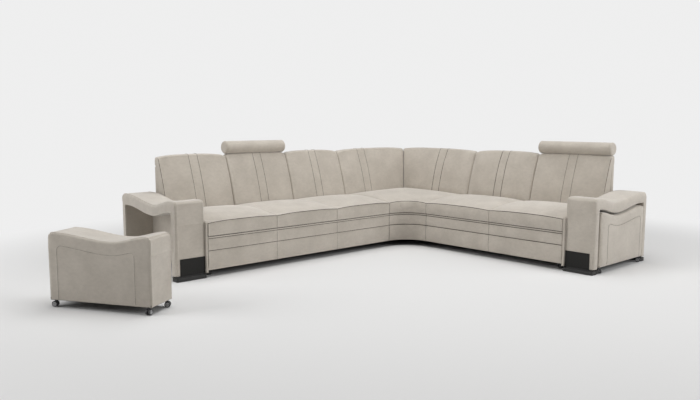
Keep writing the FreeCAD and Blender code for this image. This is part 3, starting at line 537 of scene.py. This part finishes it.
def back(part, wing, body_nodes, low, high, centre, half, drop, corner_end, outer_end):
    end_fall = HEADREST_END_FALL if drop else END_FALL

    def shape(p):
        share = (p.x - low.x) / (high.x - low.x)
        fall = drop + end_fall * abs(2 * share - 1) ** END_FALL_POWER
        z = low.z + (p.z - low.z) * (BACK_TOP - fall - low.z) / (high.z - low.z)
        middle = back_front(z) - 0.5 * BACK_THICK
        if p.y > 0.5 * BACK_THICK:
            d = middle + p.y - 0.5 * BACK_THICK
        else:
            d = back_rear(z) + p.y / (0.5 * BACK_THICK) * (middle - back_rear(z))
        skew = max(0, 1 - (p.x - low.x) / (centre - low.x)) if corner_end else 0
        return wing(p.x + skew * (d + DIAGONAL_CLEAR), d, z)

    def hold(p):
        end = at(p.x, low.x) or at(p.x, high.x)
        return end or at(p.y, low.y) or at(p.z, low.z) or at(p.z, high.z)

    def over(u):
        def test(p):
            if at(p.x, u) and at(p.y, high.y) and p.z > SEAM_START:
                return p.z
            if at(p.x, u) and at(p.z, high.z):
                return high.z + high.y - p.y
            return None

        return test

    def boxing(p):
        return p.z if at(p.x, high.x) and at(p.y, high.y) and p.z > SEAM_START else None

    places = (centre - half, centre + half)
    seams = [(over(u), SEAM_CORD, STRIP_GROOVE) for u in places]
    if outer_end:
        seams.append((boxing, SEAM_CORD, BOXING_GROOVE))
    planes = [(0, u) for u in places] + [(2, FRAME_TOP)]
    radii = (BACK_CORNER_RADII if corner_end else BACK_LOW_RADII,
             BACK_OUTER_RADII if outer_end else BACK_HIGH_RADII)
    pad("back_" + part, body_nodes, "sofa", low, high, BACK_STEP, radii, shape, hold, seams, planes,
        cap=0.007, hold_seams=False)


for part, wing in (("long_1", long_wing), ("long_2", long_wing), ("long_3", long_wing),
                   ("short_1", short_wing), ("short_2", short_wing),
                   ("corner_long", long_wing), ("corner_short", short_wing)):
    node = "back_cushion_" + part
    node_low, node_high = span(node, wing)
    corner_end = part.startswith("corner")
    low = Vector((CLEAR if corner_end else node_low.x, 0, node_low.z))
    high = Vector((node_high.x, BACK_THICK, BACK_TOP))
    centre = BACK_CENTRES.get(part, 0.5 * (low.x + high.x))
    half = CORNER_STRIP_HALF if corner_end else STRIP_HALF
    drop = HEADREST_DROP if part in ("long_2", "short_2") else 0.0
    back(part, wing, [node], low, high, centre, half, drop, corner_end, part in ("long_3", "short_2"))

# %% [markdown]
# An arm is one upholstered arch: up the rear post, over the wave and down the front post. The
# cage is a straight bar that is bent along two outlines, the outer one and the bay's. The bar's
# length is cut where the outline changes, so that posts, round corners and wave line up.
# %% Arms
ARM_DEPTH = 0.880
ARM_BOTTOM = 0.038
WAVE_HIGH = 0.592
WAVE_LOW = 0.543
BAY_HIGH = 0.503
BAY_LOW = 0.457
BAY_REAR = 0.065
BAY_FRONT = 0.818
BAY_CORNER = 0.008
ARM_REAR_RADIUS = 0.036
ARM_FRONT_RADIUS = 0.024
WAVE_REAR_CREST = 0.110
WAVE_DIP = 0.530
WAVE_FRONT_CREST = 0.790
ARM_SEAM = 0.420
POST = 0.063
RIM_INSET = 0.015
BAY_RIM_INSET = 0.021
ARM_GROOVE = 0.0014
WALL_LAP = 0.006
WALL_THICK = 0.010
WALL_STEP = Vector((0.01, 0.03, 0.03))
WALL_RADII = Vector((0.002, 0.002, 0.002))
PLATE_REACH = 0.150
ARM_LOW_RADII = Vector((0.004, 0.019, 0.012))
ARM_HIGH_RADII = Vector((0.004, 0.004, 0.019))
ARM_STEP = Vector((0.014, 0.014, 0.014))


def wave(d, high, low):
    if d < WAVE_DIP:
        share = (d - WAVE_REAR_CREST) / (WAVE_DIP - WAVE_REAR_CREST)
    else:
        share = (WAVE_FRONT_CREST - d) / (WAVE_FRONT_CREST - WAVE_DIP)
    share = min(1, max(0, share))
    return high - (high - low) * 0.5 * (1 - math.cos(math.pi * share))


def outline(rear, front, rear_radius, front_radius, high, low):
    """Five stretches of one outline, each a function of 0 to 1: post, corner, wave, corner, post."""
    def turned(centre, radius, start):
        def place(share):
            angle = math.radians(start - 90 * share)
            return centre[0] + radius * math.cos(angle), centre[1] + radius * math.sin(angle)
        return place

    def straight(a, b):
        return lambda share: (a[0] + (b[0] - a[0]) * share, a[1] + (b[1] - a[1]) * share)

    def crest(share):
        d = rear + rear_radius + (front - front_radius - rear - rear_radius) * share
        return d, wave(d, high, low)

    return [
        straight((rear, ARM_BOTTOM), (rear, high - rear_radius)),
        turned((rear + rear_radius, high - rear_radius), rear_radius, 180),
        crest,
        turned((front - front_radius, high - front_radius), front_radius, 90),
        straight((front, high - front_radius), (front, ARM_BOTTOM)),
    ]


OUTER = outline(0, ARM_DEPTH, ARM_REAR_RADIUS, ARM_FRONT_RADIUS, WAVE_HIGH, WAVE_LOW)
INNER = outline(BAY_REAR, BAY_FRONT, BAY_CORNER, BAY_CORNER, BAY_HIGH, BAY_LOW)
STRETCHES = (0.524, 0.047, 0.850, 0.031, 0.534)
STARTS = [sum(STRETCHES[:number]) for number in range(6)]


def arch_point(length, across):
    number = next((n for n in range(5) if length <= STARTS[n + 1] + NEAR), 4)
    share = (length - STARTS[number]) / STRETCHES[number]
    outer = OUTER[number](share)
    inner = INNER[number](share)
    return tuple(a + (b - a) * across for a, b in zip(outer, inner))


def arm(side, wing):
    node_low, node_high = span(f"arm_{side}_cover", wing)
    low = Vector((0, 0, node_low.x))
    high = Vector((STARTS[5], POST, node_high.x))

    def shape(p):
        d, z = arch_point(min(max(p.x, 0), STARTS[5]), p.y / POST)
        return wing(p.z, d, z)

    def hold(p):
        behind_plate = p.x > STARTS[5] - PLATE_REACH
        return behind_plate or at(p.y, high.y) or at(p.z, low.z) or at(p.x, low.x) or at(p.x, high.x)

    def rim(width):
        return lambda p: p.x if at(p.y, low.y) and at(p.z, width) else None

    front_seam = STARTS[5] - (ARM_SEAM - ARM_BOTTOM)

    def level(p):
        return p.z if at(p.x, front_seam) and at(p.y, low.y) else None

    rims = (low.z + RIM_INSET, high.z - BAY_RIM_INSET)
    seams = [(rim(width), 0.0, ARM_GROOVE) for width in rims]
    if side == "left":
        seams.append((level, 0.0, ARM_GROOVE))
    planes = [(2, width) for width in rims] + [(0, front_seam)]
    planes += [(0, start) for start in STARTS[1:5]]
    pad(f"arm_{side}", [f"arm_{side}_cover"], "sofa", low, high, ARM_STEP,
        (ARM_LOW_RADII, ARM_HIGH_RADII), shape, hold, seams, planes, cap=0.005)
    bay_wall(side, wing, node_low.x)


def bay_wall(side, wing, u):
    low = Vector((u + CLEAR, BAY_REAR - WALL_LAP, ARM_BOTTOM))
    high = Vector((u + WALL_THICK, BAY_FRONT + WALL_LAP, BAY_HIGH))

    def shape(p):
        rise = (p.z - low.z) / (high.z - low.z)
        return wing(p.x, p.y, low.z + rise * (wave(p.y, BAY_HIGH, BAY_LOW) + WALL_LAP - low.z))

    wall = pad(f"arm_{side}_wall", [], "sofa", low, high, WALL_STEP, WALL_RADII, shape,
               lambda p: True, [], cap=0.0, fill=0.9)
    # The wall's faces that look into the bay take the dark brown suede, which is painted shade.
    wall.data.materials.append(bay_shade_suede)
    bay_side = wing(high.x, 0, 0) - wing(low.x, 0, 0)
    for face in wall.data.polygons:
        if face.normal.dot(bay_side.normalized()) > 0.5:
            face.material_index = 1


arm("left", long_wing)
arm("right", short_wing)

# %% [markdown]
# Flat padded panels: the narrow one between each arm and its seats, and the covers behind the
# back, which are cloth over board. They have small round edges and hardly any filling.
# %% Flat panels
COVER_THICK = 0.008
HELD_FOOT = 0.01
STRIP_LAP = 0.005
STRIP_SINK = 0.007
STRIP_STEP = Vector((0.014, 0.03, 0.03))
STRIP_RADII = Vector((0.002, 0.003, 0.003))
COVER_STEP = Vector((0.04, 0.01, 0.04))
COVER_RADII = Vector((0.003, 0.003, 0.003))


def flat_panel(name, nodes, wing, step, radii, low, high):
    def hold(p):
        edge = at(p.x, low.x) or at(p.x, high.x) or at(p.y, low.y) or at(p.y, high.y)
        return not edge or p.z < low.z + HELD_FOOT

    pad(name, nodes, "sofa", low, high, step, radii, lambda p: wing(p.x, p.y, p.z), hold, [],
        cap=0.0015, fill=0.4)


for side, wing in (("left", long_wing), ("right", short_wing)):
    node = f"arm_{side}_side_panel"
    low, high = span(node, wing)
    low.y = max(low.y, SEAT_HEEL)
    high.y = SEAT_FRONT - STRIP_SINK
    high.x += STRIP_LAP
    flat_panel(f"side_panel_{side}", [node], wing, STRIP_STEP, STRIP_RADII, low, high)
for part, wing in (("long", long_wing), ("short", short_wing)):
    node = "rear_cover_" + part
    low, high = span(node, wing)
    high.y = BACK_REAR + COVER_THICK
    flat_panel("rear_panel_" + part, [node], wing, COVER_STEP, COVER_RADII, low, high)

# %% [markdown]
# Behind the corner the cover goes round the outside in two halves. The board behind each back
# cushion also turns in at the wing's end, above the arm.
# %% Corner and end covers
COVER_BOTTOM = 0.056
COVER_TOP = 0.800
END_COVER = Vector((0.008, 0.036, 0.485))
END_TUCK = 0.006
END_STEP = Vector((0.01, 0.012, 0.04))
END_RADII = Vector((0.002, 0.002, 0.002))
for half, wing in (("a", long_wing), ("b", short_wing)):
    low = Vector((BACK_REAR, BACK_REAR, COVER_BOTTOM))
    high = Vector((CORNER - CLEAR, BACK_REAR + COVER_THICK, COVER_TOP))
    flat_panel("rear_panel_corner_" + half, ["rear_cover_corner"] if half == "a" else [], wing,
               COVER_STEP, COVER_RADII, low, high)
for part, wing in (("long", long_wing), ("short", short_wing)):
    wing_end = span("rear_cover_" + part, wing)[1].x
    high = Vector((wing_end, BACK_REAR + COVER_THICK + END_COVER.y, FRAME_TOP + END_TUCK))
    flat_panel("end_panel_" + part, [], wing, END_STEP, END_RADII, high - END_COVER, high)

# %% [markdown]
# A pouf is a block with the bay's wave on top. Its cage is shaped while it stands in its bay, and
# the left one is then turned and rolled out into the room with the same move as its frame. Its
# outer face has an inset seam like a pocket outline, which is laid on afterwards.
# %% Poufs
POUF_REAR = 0.074
POUF_FRONT = 0.809
POUF_BOTTOM = 0.0495
POUF_HIGH = 0.484
POUF_LOW = 0.441
POUF_CORNER = 0.034
POUF_SEAM = 0.366
POUF_GAP = 0.014
POUF_WIDTH = 0.246
POUF_INSET = 0.014
POUF_GROOVE = 0.0012
LEFT_PLACE = Vector((-3.866, -1.064, 0))
LEFT_TURN = math.radians(31.1)
POUF_LOW_RADII = Vector((0.015, 0.015, 0.003))
POUF_HIGH_RADII = Vector((0.015, 0.015, 0.015))
POUF_STEP = Vector((0.011, 0.011, 0.011))


def softened_corner(d, z, top):
    """Rounds the outline's two upper corners, seen from the side."""
    core_d = min(max(d, POUF_REAR + POUF_CORNER), POUF_FRONT - POUF_CORNER)
    core_z = min(z, top - POUF_CORNER)
    out_d = (d - core_d) / POUF_CORNER
    out_z = (z - core_z) / POUF_CORNER
    reach = math.hypot(out_d, out_z)
    if reach < NEAR:
        return d, z
    share = max(abs(out_d), abs(out_z)) / reach
    return core_d + POUF_CORNER * out_d * share, core_z + POUF_CORNER * out_z * share


def pouf_place(side, u0):
    centre = long_wing(u0 + POUF_GAP + 0.5 * POUF_WIDTH, 0.5 * (POUF_REAR + POUF_FRONT), 0)
    if side == "right":
        return short_wing

    def rolled(u, d, z):
        away = long_wing(u, d, z) - centre
        return Euler((0, 0, LEFT_TURN)).to_matrix() @ away + LEFT_PLACE

    return rolled


def pouf(side, u0):
    place = pouf_place(side, u0)
    low = Vector((u0 + POUF_GAP, POUF_REAR, POUF_BOTTOM + CLEAR))
    high = Vector((u0 + POUF_GAP + POUF_WIDTH, POUF_FRONT, POUF_HIGH))

    def shape(p):
        d, z = softened_corner(p.y, p.z, POUF_HIGH)
        rise = (z - low.z) / (high.z - low.z)
        return place(p.x, d, low.z + rise * (wave(d, POUF_HIGH, POUF_LOW) - low.z))

    def hold(p):
        return at(p.z, low.z)

    def rim(u):
        def test(p):
            if not at(p.x, u):
                return None
            if at(p.y, low.y):
                return p.z
            if at(p.z, high.z):
                return 1 + p.y
            if at(p.y, high.y):
                return 3 - p.z
            return None

        return test

    def across(end):
        return lambda p: p.x if at(p.y, end) and at(p.z, POUF_SEAM) else None

    rims = (low.x + POUF_INSET, high.x - POUF_INSET)
    seams = [(rim(u), 0.0, POUF_GROOVE) for u in rims]
    seams += [(across(end), 0.0, POUF_GROOVE) for end in (low.y, high.y)]
    planes = [(0, u) for u in rims] + [(2, POUF_SEAM)]
    pad(f"pouf_{side}_pad", [f"pouf_{side}_cover"], f"pouf_{side}", low, high, POUF_STEP,
        (POUF_LOW_RADII, POUF_HIGH_RADII), shape, hold, seams, planes, cap=0.004)
    return place


ARM_STARTS = {"left": span("arm_left_cover", long_wing)[0].x,
              "right": span("arm_right_cover", short_wing)[0].x}
pouf_places = {side: pouf(side, start) for side, start in ARM_STARTS.items()}

# %% [markdown]
# A headrest is a round roll with soft ends. A half outline is spun about the roll's axis, and its
# ends are closed by the spin. Noise from a fixed place makes it a little uneven. It stands on two
# flat steel bars, which are in the frame.
# %% Headrests
BOLSTER_RADIUS = 0.057
BOLSTER_DEPTH = 0.122
BOLSTER_HEIGHT = 0.947
BOLSTER_END = 0.016
BOLSTER_SIDES = 64
BOLSTER_DRAW = 0.0008
BOLSTER_GROOVE = 0.0016
UNEVEN = 0.010
UNEVEN_SCALE = 9.0


def bolster(side, wing):
    node_low, node_high = span("headrest_" + side, wing)
    middle = 0.5 * (node_low.x + node_high.x)
    half = 0.5 * (node_high.x - node_low.x)
    profile = [(half - 0.001, 0.0), (half - 0.0005, 0.02), (half, 0.034)]
    for step in range(5):
        angle = math.radians(22.5 * step)
        profile.append((half - BOLSTER_END * (1 - math.cos(angle)),
                        BOLSTER_RADIUS - BOLSTER_END * (1 - math.sin(angle))))
    profile.append((half * 0.93, BOLSTER_RADIUS - BOLSTER_DRAW))
    profile += [(half * share, BOLSTER_RADIUS) for share in (0.8, 0.6, 0.4, 0.2, 0.0)]
    profile += [(-reach, radius) for reach, radius in reversed(profile[:-1])]
    bm = bmesh.new()
    verts = [bm.verts.new((reach, 0, radius)) for reach, radius in profile]
    edges = [bm.edges.new(pair) for pair in zip(verts, verts[1:])]
    bmesh.ops.spin(bm, geom=verts + edges, cent=(0, 0, 0), axis=(1, 0, 0), angle=2 * math.pi,
                   steps=BOLSTER_SIDES, use_merge=True)
    bmesh.ops.remove_doubles(bm, verts=bm.verts, dist=1e-5)
    bm.verts.index_update()
    rings = []
    for end in (half - BOLSTER_END, -half + BOLSTER_END):
        ring = [vert for vert in bm.verts if abs(vert.co.x - end) < 1e-5]
        ring.sort(key=lambda vert: math.atan2(vert.co.z, vert.co.y))
        rings.append(([vert.index for vert in ring + ring[:1]], 0.0, BOLSTER_GROOVE))
    for vert in bm.verts:
        swell = 1 + UNEVEN * noise.noise(vert.co * UNEVEN_SCALE)
        around = Vector((vert.co.x, vert.co.y * swell, vert.co.z * swell))
        vert.co = wing(middle + around.x, BOLSTER_DEPTH + around.y, BOLSTER_HEIGHT + around.z)
    bmesh.ops.recalc_face_normals(bm, faces=bm.faces)
    name = "headrest_roll_" + side
    roll_piece = linked(name, finished(bm, name))
    roll_piece.data.materials.append(fabric)
    pads.append({"piece": roll_piece, "nodes": ["headrest_" + side], "body": "headrest_" + side,
                 "lines": rings, "cap": 0.0, "fill": 0.8})


bolster("left", long_wing)
bolster("right", short_wing)

# %% [markdown]
# Now the cloth swells. Gravity is off, because the foam carries its own weight. A stiff cloth
# keeps the surface smooth, and the cap keeps each piece clear of its neighbours.
# %% Swelling
PRESSURE = 3.0
SWELL_FRAMES = 20


def swell_all():
    soft = [row for row in pads if row["cap"] > 0]
    for row in soft:
        modifier = row["piece"].modifiers.new("swell", "CLOTH")
        cloth = modifier.settings
        cloth.quality = 4
        cloth.mass = 0.3
        cloth.tension_stiffness = 25
        cloth.compression_stiffness = 25
        cloth.shear_stiffness = 10
        cloth.bending_stiffness = 2
        cloth.use_pressure = True
        cloth.uniform_pressure_force = PRESSURE
        cloth.effector_weights.gravity = 0
        cloth.vertex_group_mass = "sewn"
        modifier.collision_settings.use_collision = False
        modifier.point_cache.frame_end = SWELL_FRAMES
    for number in range(1, SWELL_FRAMES + 1):
        bpy.context.scene.frame_set(number)
    graph = bpy.context.evaluated_depsgraph_get()
    for row in soft:
        piece = row["piece"]
        swollen = piece.evaluated_get(graph).to_mesh()
        moves = [new.co - old.co for new, old in zip(swollen.vertices, piece.data.vertices)]
        row["moves"] = [move * min(1, row["cap"] / max(move.length, NEAR)) for move in moves]
    for row in soft:
        piece = row["piece"]
        piece.modifiers.clear()
        for vert, move in zip(piece.data.vertices, row.pop("moves")):
            vert.co += move
    bpy.context.scene.frame_set(1)
    print("swollen pieces:", len(soft))


swell_all()

# %% [markdown]
# Each pad is subdivided once and its seams are sewn: the surface sinks in a narrow groove along
# each seam, with small puckers beside it, and a contrast cord lies in the groove. Subdivision
# keeps the cage's own points first in its list, so the seam's points are still known.
# %% Seams
GROOVE_WIDTH = 0.0045
PUCKER_WIDTH = 0.030
PUCKER = 0.0009
POCKET_REAR = 0.140
POCKET_FRONT = 0.696
POCKET_BOTTOM = 0.060
POCKET_CORNER = 0.034
POCKET_LIFT = 0.036
POCKET_CORD = 0.0008
POCKET_GROOVE = 0.0018
POCKET_REACH = 0.004
POCKET_STEP = 0.01
POCKET_RISE, POCKET_RUN, POCKET_FALL = 29, 47, 27
CORD_STEP = 0.003
CORD_PROUD = 0.5


def refined(piece):
    piece.vertex_groups.clear()
    modifier = piece.modifiers.new("smooth", "SUBSURF")
    modifier.levels = 1
    modifier.render_levels = 1
    graph = bpy.context.evaluated_depsgraph_get()
    mesh = bpy.data.meshes.new_from_object(piece.evaluated_get(graph))
    piece.modifiers.clear()
    old = piece.data
    piece.data = mesh
    bpy.data.meshes.remove(old)
    smooth_faces(mesh)
    return mesh


def sink(mesh, lines):
    """Sinks the surface along seam lines, each (points, depth), and puckers it beside them."""
    tree = kdtree.KDTree(sum(len(points) for points, depth in lines))
    depths = []
    for points, depth in lines:
        for place in points:
            tree.insert(place, len(depths))
            depths.append(depth)
    tree.balance()
    normals = [vert.normal.copy() for vert in mesh.vertices]
    for vert, normal in zip(mesh.vertices, normals):
        place, index, distance = tree.find(vert.co)
        if distance > 2.5 * PUCKER_WIDTH:
            continue
        groove = depths[index] * math.exp(-((distance / GROOVE_WIDTH) ** 2))
        pucker = PUCKER * math.exp(-distance / PUCKER_WIDTH) * noise.noise(place * 45.0)
        vert.co += normal * (pucker - groove)


def dense(points):
    """The polyline with a point every few millimetres."""
    made = []
    for a, b in zip(points, points[1:]):
        count = max(1, int((b - a).length / CORD_STEP))
        made += [a.lerp(b, number / count) for number in range(count)]
    return made + points[-1:]


def tube(name, runs):
    """One mesh of round cords, each run (points, radius)."""
    curve = bpy.data.curves.new(name, "CURVE")
    curve.dimensions = "3D"
    curve.bevel_depth = 1.0
    curve.bevel_resolution = 1
    curve.use_fill_caps = True
    for points, radius in runs:
        spline = curve.splines.new("POLY")
        spline.points.add(len(points) - 1)
        for spot, place in zip(spline.points, points):
            spot.co = (*place, 1)
            spot.radius = radius
    holder = linked(name + "_curve", curve)
    graph = bpy.context.evaluated_depsgraph_get()
    mesh = bpy.data.meshes.new_from_object(holder.evaluated_get(graph))
    bpy.data.objects.remove(holder)
    smooth_faces(mesh)
    mesh.materials.clear()
    mesh.materials.append(thread)
    return linked(name, mesh)


def surface_of(mesh):
    return BVHTree.FromPolygons([vert.co for vert in mesh.vertices],
                                [face.vertices[:] for face in mesh.polygons])


def settle(piece, row):
    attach(piece, row["body"])


def pocket_outline(side):
    """The inset seam on a pouf's outer face, as points in the row frame just outside the face."""
    u = ARM_STARTS[side] + POUF_GAP + POUF_WIDTH + POCKET_REACH
    rear_core = POCKET_REAR + POCKET_CORNER

    def corner(d_core, start):
        angles = [math.radians(start - 15 * step) for step in range(7)]
        return [(d_core + POCKET_CORNER * math.cos(angle), -POCKET_CORNER * (1 - math.sin(angle)))
                for angle in angles]

    path = [(POCKET_REAR, POCKET_BOTTOM + POCKET_STEP * number) for number in range(POCKET_RISE)]
    path += corner(rear_core, 180)
    path += [(rear_core + POCKET_STEP * (number + 1), 0.0) for number in range(POCKET_RUN)]
    path += corner(POCKET_FRONT - POCKET_CORNER, 90)
    path += [(POCKET_FRONT, POUF_SEAM - POCKET_CORNER - POCKET_STEP * (number + 1))
             for number in range(POCKET_FALL)]
    made = []
    for d, z in path:
        if z <= 0:
            z += POUF_SEAM + wave(d, POUF_HIGH, POUF_LOW) - POUF_HIGH + POCKET_LIFT
        made.append(pouf_places[side](u, d, z))
    return made


def sew(row):
    piece = row["piece"]
    mesh = refined(piece)
    lines = [([mesh.vertices[index].co.copy() for index in line], radius, depth)
             for line, radius, depth in row["lines"]]
    if piece.name.startswith("pouf"):
        surface = surface_of(mesh)
        path = pocket_outline(piece.name.split("_")[1])
        lines.append(([surface.find_nearest(place)[0] for place in path], POCKET_CORD, POCKET_GROOVE))
    if lines:
        sink(mesh, [(dense(points), depth) for points, radius, depth in lines])
        surface = surface_of(mesh)
        runs = []
        for points, radius, depth in lines:
            if radius:
                found = [surface.find_nearest(place) for place in points]
                runs.append(([hit[0] + hit[1] * CORD_PROUD * radius for hit in found], radius))
        if runs:
            settle(tube(piece.name + "_seams", runs), row)
    settle(piece, row)
    if row["nodes"]:
        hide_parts(*row["nodes"])


for row in pads:
    sew(row)
print("padded pieces:", len(pads))

# %% [markdown]
# A furniture caster has two thin wheels on one axle under a round hood, which turns on a stem.
# Tyre, hub and hood are spun from short outlines, so each edge can be rounded where a real
# moulding is. They ride on the caster's own bodies and turn with them.
# %% Casters
WHEEL_RADIUS = 0.019
WHEEL_INNER = 0.0043
WHEEL_OUTER = 0.016
HUB_RADIUS = 0.0125
TRAIL = 0.012
UP = Vector((0, 0, 1))


def spun(name, profile, centre, axis, side, material, segments=40):
    """A closed solid of revolution from (along the axis, radius) points."""
    bm = bmesh.new()
    verts = [bm.verts.new(centre + axis * along + side * radius) for along, radius in profile]
    edges = [bm.edges.new(pair) for pair in zip(verts, verts[1:])]
    bmesh.ops.spin(bm, geom=verts + edges, cent=centre, axis=axis, angle=2 * math.pi, steps=segments,
                   use_merge=True)
    bmesh.ops.remove_doubles(bm, verts=bm.verts, dist=1e-6)
    bmesh.ops.recalc_face_normals(bm, faces=bm.faces)
    mesh = finished(bm, name)
    mesh.materials.append(material)
    smooth_faces(mesh)
    return linked(name, mesh)


TYRE = [(WHEEL_INNER, 0.0), (WHEEL_INNER, 0.0172), (0.0050, 0.0184), (0.0066, WHEEL_RADIUS),
        (0.0136, WHEEL_RADIUS), (0.0152, 0.0184), (WHEEL_OUTER, 0.0172), (WHEEL_OUTER, 0.0132),
        (0.0150, 0.0128), (0.0148, 0.0)]
HUB = [(0.0146, 0.0), (0.0146, HUB_RADIUS), (0.0156, HUB_RADIUS), (0.0160, 0.0120), (0.0157, 0.0075),
       (0.0148, 0.0066), (0.0148, 0.0045), (0.0158, 0.0038), (0.0163, 0.0022), (0.0163, 0.0)]
HOOD = [(0.0405, 0.0), (0.0405, 0.0125), (0.0420, 0.0150), (0.0455, 0.0148), (0.0474, 0.0125),
        (0.0484, 0.0085), (0.0484, 0.0)]

joint_of = {joint["child"]: joint for joint in frame["joints"]}
corners = [f"{side}_{end}" for side in ("outer", "inner") for end in ("front", "rear")]
for pouf_side in ("left", "right"):
    for corner in corners:
        name = f"pouf_{pouf_side}_{corner}"
        axle = joint_of[name + "_wheels"]
        hub_centre = Vector(axle["pos_m"])
        along = Vector(axle["axis"]).normalized()
        for mark, way in (("a", 1), ("b", -1)):
            tyre = spun(f"{name}_tyre_{mark}", TYRE, hub_centre, along * way, UP, tyre_finish)
            hub = spun(f"{name}_hub_{mark}", HUB, hub_centre, along * way, UP, hub_finish)
            for piece in (tyre, hub):
                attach(piece, name + "_wheels")
        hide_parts(f"pouf_{pouf_side}_wheels_{corner}")
        swivel = hub_centre - along.cross(UP) * TRAIL
        stem = Vector((swivel.x, swivel.y, 0))
        hood = spun(f"{name}_hood", HOOD, stem, UP, Vector((1, 0, 0)), nylon)
        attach(hood, name + "_caster")

# %% [markdown]
# The rigid pieces of the frame keep their own meshes and only take a finish. The board under each
# pouf is covered with the same black cloth as the sofa's base.
# %% Finishes of the frame
FINISHES = {
    "dark_plate": plate_finish, "dark_feet": foot_finish, "timber": wood, "webbing": dust_cloth,
    "dust_cloth": dust_cloth, "steel": steel, "socket_plastic": nylon, "caster_hood": nylon,
    "caster_wheel": tyre_finish, "suede": fabric,
}
slot_of = {part["node"]: part["material_slot"] for part in frame["record"]["subparts"]}
for node, piece in frame["nodes"].items():
    piece.data.materials.clear()
    under_pouf = node.startswith("pouf") and node.endswith("board")
    piece.data.materials.append(dust_cloth if under_pouf else FINISHES[slot_of[node]])

# %% [markdown]
# The studio is a pale floor that fades into the backdrop, lit from above and from two sides. The
# floor's material turns from lit grey near the sofa to the backdrop's own grey far away, by the
# distance from the sofa, so no edge shows. Far off, the floor is an unlit glow, and at the camera's feet that glow
# is a little darker, which is painted shade.
# %% Studio
BACKDROP = (0.86, 0.86, 0.86, 1)
# NEAR_GREY is painted shade: the glowing floor a little darker at the camera's feet.
NEAR_GREY = (0.76, 0.76, 0.76, 1)
FLOOR_GREY = (0.735, 0.735, 0.735, 1)
AMBIENT = (1.0, 0.965, 0.90, 1)
AMBIENT_STRENGTH = 0.08
FADE_START = 2.5
FADE_END = 4.7
FADE_CENTRE = (-1.7, -1.8, 0)
NEAR_END = 2.2
FAR_START = 6.2

bm = bmesh.new()
bmesh.ops.create_grid(bm, x_segments=1, y_segments=1, size=60)
floor = linked("floor", finished(bm, "floor"))
floor_material = bpy.data.materials.new("floor")
floor_material.use_nodes = True
tree = floor_material.node_tree
tree.nodes.clear()
lit = tree.nodes.new("ShaderNodeBsdfDiffuse")
lit.inputs["Color"].default_value = FLOOR_GREY
glow = tree.nodes.new("ShaderNodeEmission")
place = tree.nodes.new("ShaderNodeTexCoord")
toward = tree.nodes.new("ShaderNodeVectorMath")
toward.operation = "DISTANCE"
toward.inputs[1].default_value = (CAMERA_PLACE[0], CAMERA_PLACE[1], 0)
depth = tree.nodes.new("ShaderNodeMapRange")
depth.interpolation_type = "SMOOTHSTEP"
depth.inputs["From Min"].default_value = NEAR_END
depth.inputs["From Max"].default_value = FAR_START
tones = tree.nodes.new("ShaderNodeMix")
tones.data_type = "RGBA"
tones.inputs[6].default_value = NEAR_GREY
tones.inputs[7].default_value = BACKDROP
tree.links.new(place.outputs["Object"], toward.inputs[0])
tree.links.new(toward.outputs["Value"], depth.inputs["Value"])
tree.links.new(depth.outputs["Result"], tones.inputs["Factor"])
tree.links.new(tones.outputs[2], glow.inputs["Color"])
length = tree.nodes.new("ShaderNodeVectorMath")
length.operation = "LENGTH"
centre = tree.nodes.new("ShaderNodeVectorMath")
centre.operation = "SUBTRACT"
centre.inputs[1].default_value = FADE_CENTRE
fade = tree.nodes.new("ShaderNodeMapRange")
fade.interpolation_type = "SMOOTHSTEP"
fade.inputs["From Min"].default_value = FADE_START
fade.inputs["From Max"].default_value = FADE_END
mix = tree.nodes.new("ShaderNodeMixShader")
out = tree.nodes.new("ShaderNodeOutputMaterial")
tree.links.new(place.outputs["Object"], centre.inputs[0])
tree.links.new(centre.outputs["Vector"], length.inputs[0])
tree.links.new(length.outputs["Value"], fade.inputs["Value"])
tree.links.new(fade.outputs["Result"], mix.inputs["Fac"])
tree.links.new(lit.outputs["BSDF"], mix.inputs[1])
tree.links.new(glow.outputs["Emission"], mix.inputs[2])
tree.links.new(mix.outputs["Shader"], out.inputs["Surface"])
floor.data.materials.append(floor_material)

world = bpy.data.worlds.new("studio")
bpy.context.scene.world = world
world.use_nodes = True
tree = world.node_tree
tree.nodes.clear()
ambient = tree.nodes.new("ShaderNodeBackground")
ambient.inputs["Color"].default_value = AMBIENT
ambient.inputs["Strength"].default_value = AMBIENT_STRENGTH
seen = tree.nodes.new("ShaderNodeBackground")
seen.inputs["Color"].default_value = BACKDROP
rays = tree.nodes.new("ShaderNodeLightPath")
camera_or_gloss = tree.nodes.new("ShaderNodeMath")
camera_or_gloss.operation = "MAXIMUM"
mix = tree.nodes.new("ShaderNodeMixShader")
out = tree.nodes.new("ShaderNodeOutputWorld")
tree.links.new(rays.outputs["Is Camera Ray"], camera_or_gloss.inputs[0])
tree.links.new(rays.outputs["Is Glossy Ray"], camera_or_gloss.inputs[1])
tree.links.new(camera_or_gloss.outputs["Value"], mix.inputs["Fac"])
tree.links.new(ambient.outputs["Background"], mix.inputs[1])
tree.links.new(seen.outputs["Background"], mix.inputs[2])
tree.links.new(mix.outputs["Shader"], out.inputs["Surface"])


def soft_box(name, place, aim, size, power):
    lamp = bpy.data.lights.new(name, "AREA")
    lamp.shape = "SQUARE"
    lamp.size = size
    lamp.energy = power
    holder = linked(name, lamp)
    holder.location = place
    holder.rotation_mode = "QUATERNION"
    holder.rotation_quaternion = (Vector(aim) - Vector(place)).to_track_quat("-Z", "Y")


MIDDLE = (-1.8, -1.4, 0.3)
soft_box("ceiling", (-1.8, -1.4, 5.5), MIDDLE, 6.0, 298)
soft_box("right_front", (1.5, -7.5, 3.2), MIDDLE, 4.0, 228)
soft_box("left_rear", (-8.0, 1.5, 3.2), MIDDLE, 4.0, 168)
bpy.context.scene.view_settings.view_transform = "Standard"
